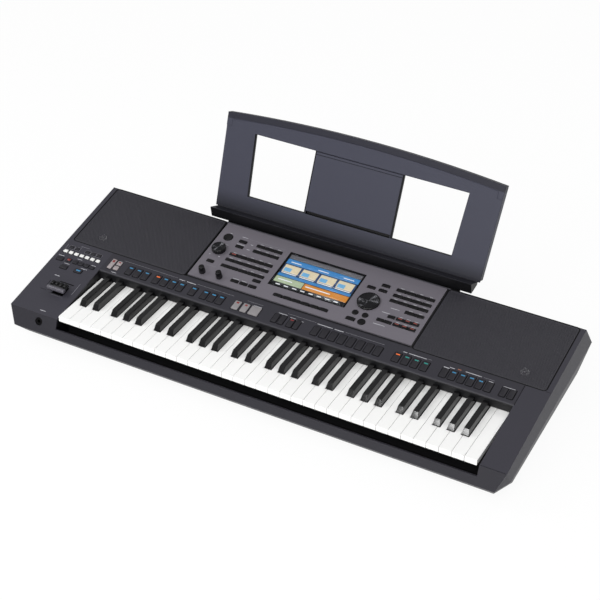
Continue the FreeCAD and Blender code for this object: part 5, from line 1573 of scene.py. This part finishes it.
@dataclass(frozen=True)
class Studio:
    """Floor, lamps, world and camera."""

    eye: Triple = (1.1604, -2.1525, 1.8625)
    aim: Triple = (0.0085, -0.0341, 0.1301)
    lens: float = 97.0
    sensor: float = 36.0
    floor_half: float = 40.0
    floor_colour: Colour = (0.94, 0.94, 0.94, 1.0)
    white: Colour = (1.0, 1.0, 1.0, 1.0)
    white_share: float = 0.93
    ambient: float = 0.36
    lamp_aim: Triple = (0.0, 0.0, 0.1)
    boxes: Sequence[Softbox] = (
        Softbox("lamp_front_right", (1.3, -2.3, 2.6), 1.8, 1.8, 50.0),
        Softbox("lamp_front_left", (-0.2, -2.4, 2.3), 1.2, 1.2, 26.0),
        Softbox("lamp_left", (-2.3, -0.9, 2.2), 1.6, 1.6, 32.0),
        Softbox("lamp_back", (0.9, 1.9, 2.2), 1.2, 0.8, 13.0),
        Softbox("lamp_front_low", (-0.15, -2.3, 0.75), 0.42, 0.28, 8.5))

    def build(self) -> None:
        """Set up the stage."""
        self.floor()
        self.world()
        for softbox in self.boxes:
            self.lamp(softbox)
        self.camera()
        bpy.context.scene.view_settings.view_transform = "Standard"

    def floor(self) -> None:
        """A wide white floor: the camera sees mostly plain white, and a little of its light and shadow."""
        half = self.floor_half
        mesh = bpy.data.meshes.new("floor")
        mesh.from_pydata([(-half, -half, 0.0), (half, -half, 0.0), (half, half, 0.0), (-half, half, 0.0)], [],
                         [(0, 1, 2, 3)])
        sheet = Sheet("floor_white")
        grain = sheet.effect(Effect.GRAIN, Colour=self.floor_colour, Grain=60.0, Mottle=0.01, Roughness=0.8,
                             Spread=0.02)
        sheet.feed(Base_Color=grain["Colour"], Roughness=grain["Roughness"], Specular_IOR_Level=0.0)
        path = sheet.add("ShaderNodeLightPath").outputs
        seen = sheet.work("MAXIMUM", path["Is Camera Ray"],
                          sheet.work("MAXIMUM", path["Is Glossy Ray"], path["Is Transmission Ray"]))
        glow = sheet.add("ShaderNodeEmission", {"Color": self.white, "Strength": 1.0})
        blend = sheet.add("ShaderNodeMixShader", {0: sheet.work("MULTIPLY", seen, self.white_share),
                                                  1: sheet.shader.outputs[0], 2: glow.outputs[0]})
        sheet.plug(blend.outputs[0], sheet.tree.nodes["Material Output"].inputs["Surface"])
        mesh.materials.append(sheet.material)
        floor = bpy.data.objects.new("floor", mesh)
        bpy.context.scene.collection.objects.link(floor)

    def world(self) -> None:
        """An even pale world that fills the shadows."""
        world = bpy.data.worlds.new("studio")
        bpy.context.scene.world = world
        world.use_nodes = True
        wiring = Wiring(world.node_tree)
        background = world.node_tree.nodes["Background"].inputs
        wiring.plug(self.white, background["Color"])
        wiring.plug(self.ambient, background["Strength"])

    def stand(self, thing: bpy.types.Object, place: Sequence[float], aim: Sequence[float]) -> None:
        """Stand a lamp or camera at a place, facing an aim.

        Args:
            thing: The lamp or camera.
            place: Where it stands.
            aim: What it faces.
        """
        thing.location = place
        thing.rotation_euler = (Vector(aim) - thing.location).to_track_quat("-Z", "Y").to_euler()
        bpy.context.scene.collection.objects.link(thing)

    def lamp(self, softbox: Softbox) -> None:
        """Hang one soft lamp so that it faces the keyboard.

        Args:
            softbox: The lamp's place, size and power.
        """
        light = bpy.data.lights.new(softbox.name, "AREA")
        light.shape = "RECTANGLE"
        light.size, light.size_y, light.energy = softbox.width, softbox.height, softbox.power
        self.stand(bpy.data.objects.new(softbox.name, light), softbox.place, self.lamp_aim)

    def camera(self) -> None:
        """Stand the camera where the photograph was taken from."""
        view = bpy.data.cameras.new("camera")
        view.lens, view.sensor_width, view.sensor_fit = self.lens, self.sensor, "HORIZONTAL"
        camera = bpy.data.objects.new("camera", view)
        self.stand(camera, self.eye, self.aim)
        bpy.context.scene.camera = camera


def main() -> None:
    """Build the keyboard's looks and its studio."""
    logging.basicConfig(level=logging.INFO, format="%(message)s")
    for shell in (CaseShell(), KeyBed()):
        shell.dress()
    for side in Side:
        SpeakerGrille(side).build()
    for cluster in clusters():
        cluster.build()
    for assembly in (Dials(), Display(), MarksAndPaintedLight(), Joystick(), MusicRest(), Studio()):
        assembly.build()


if __name__ == "__main__":
    main()
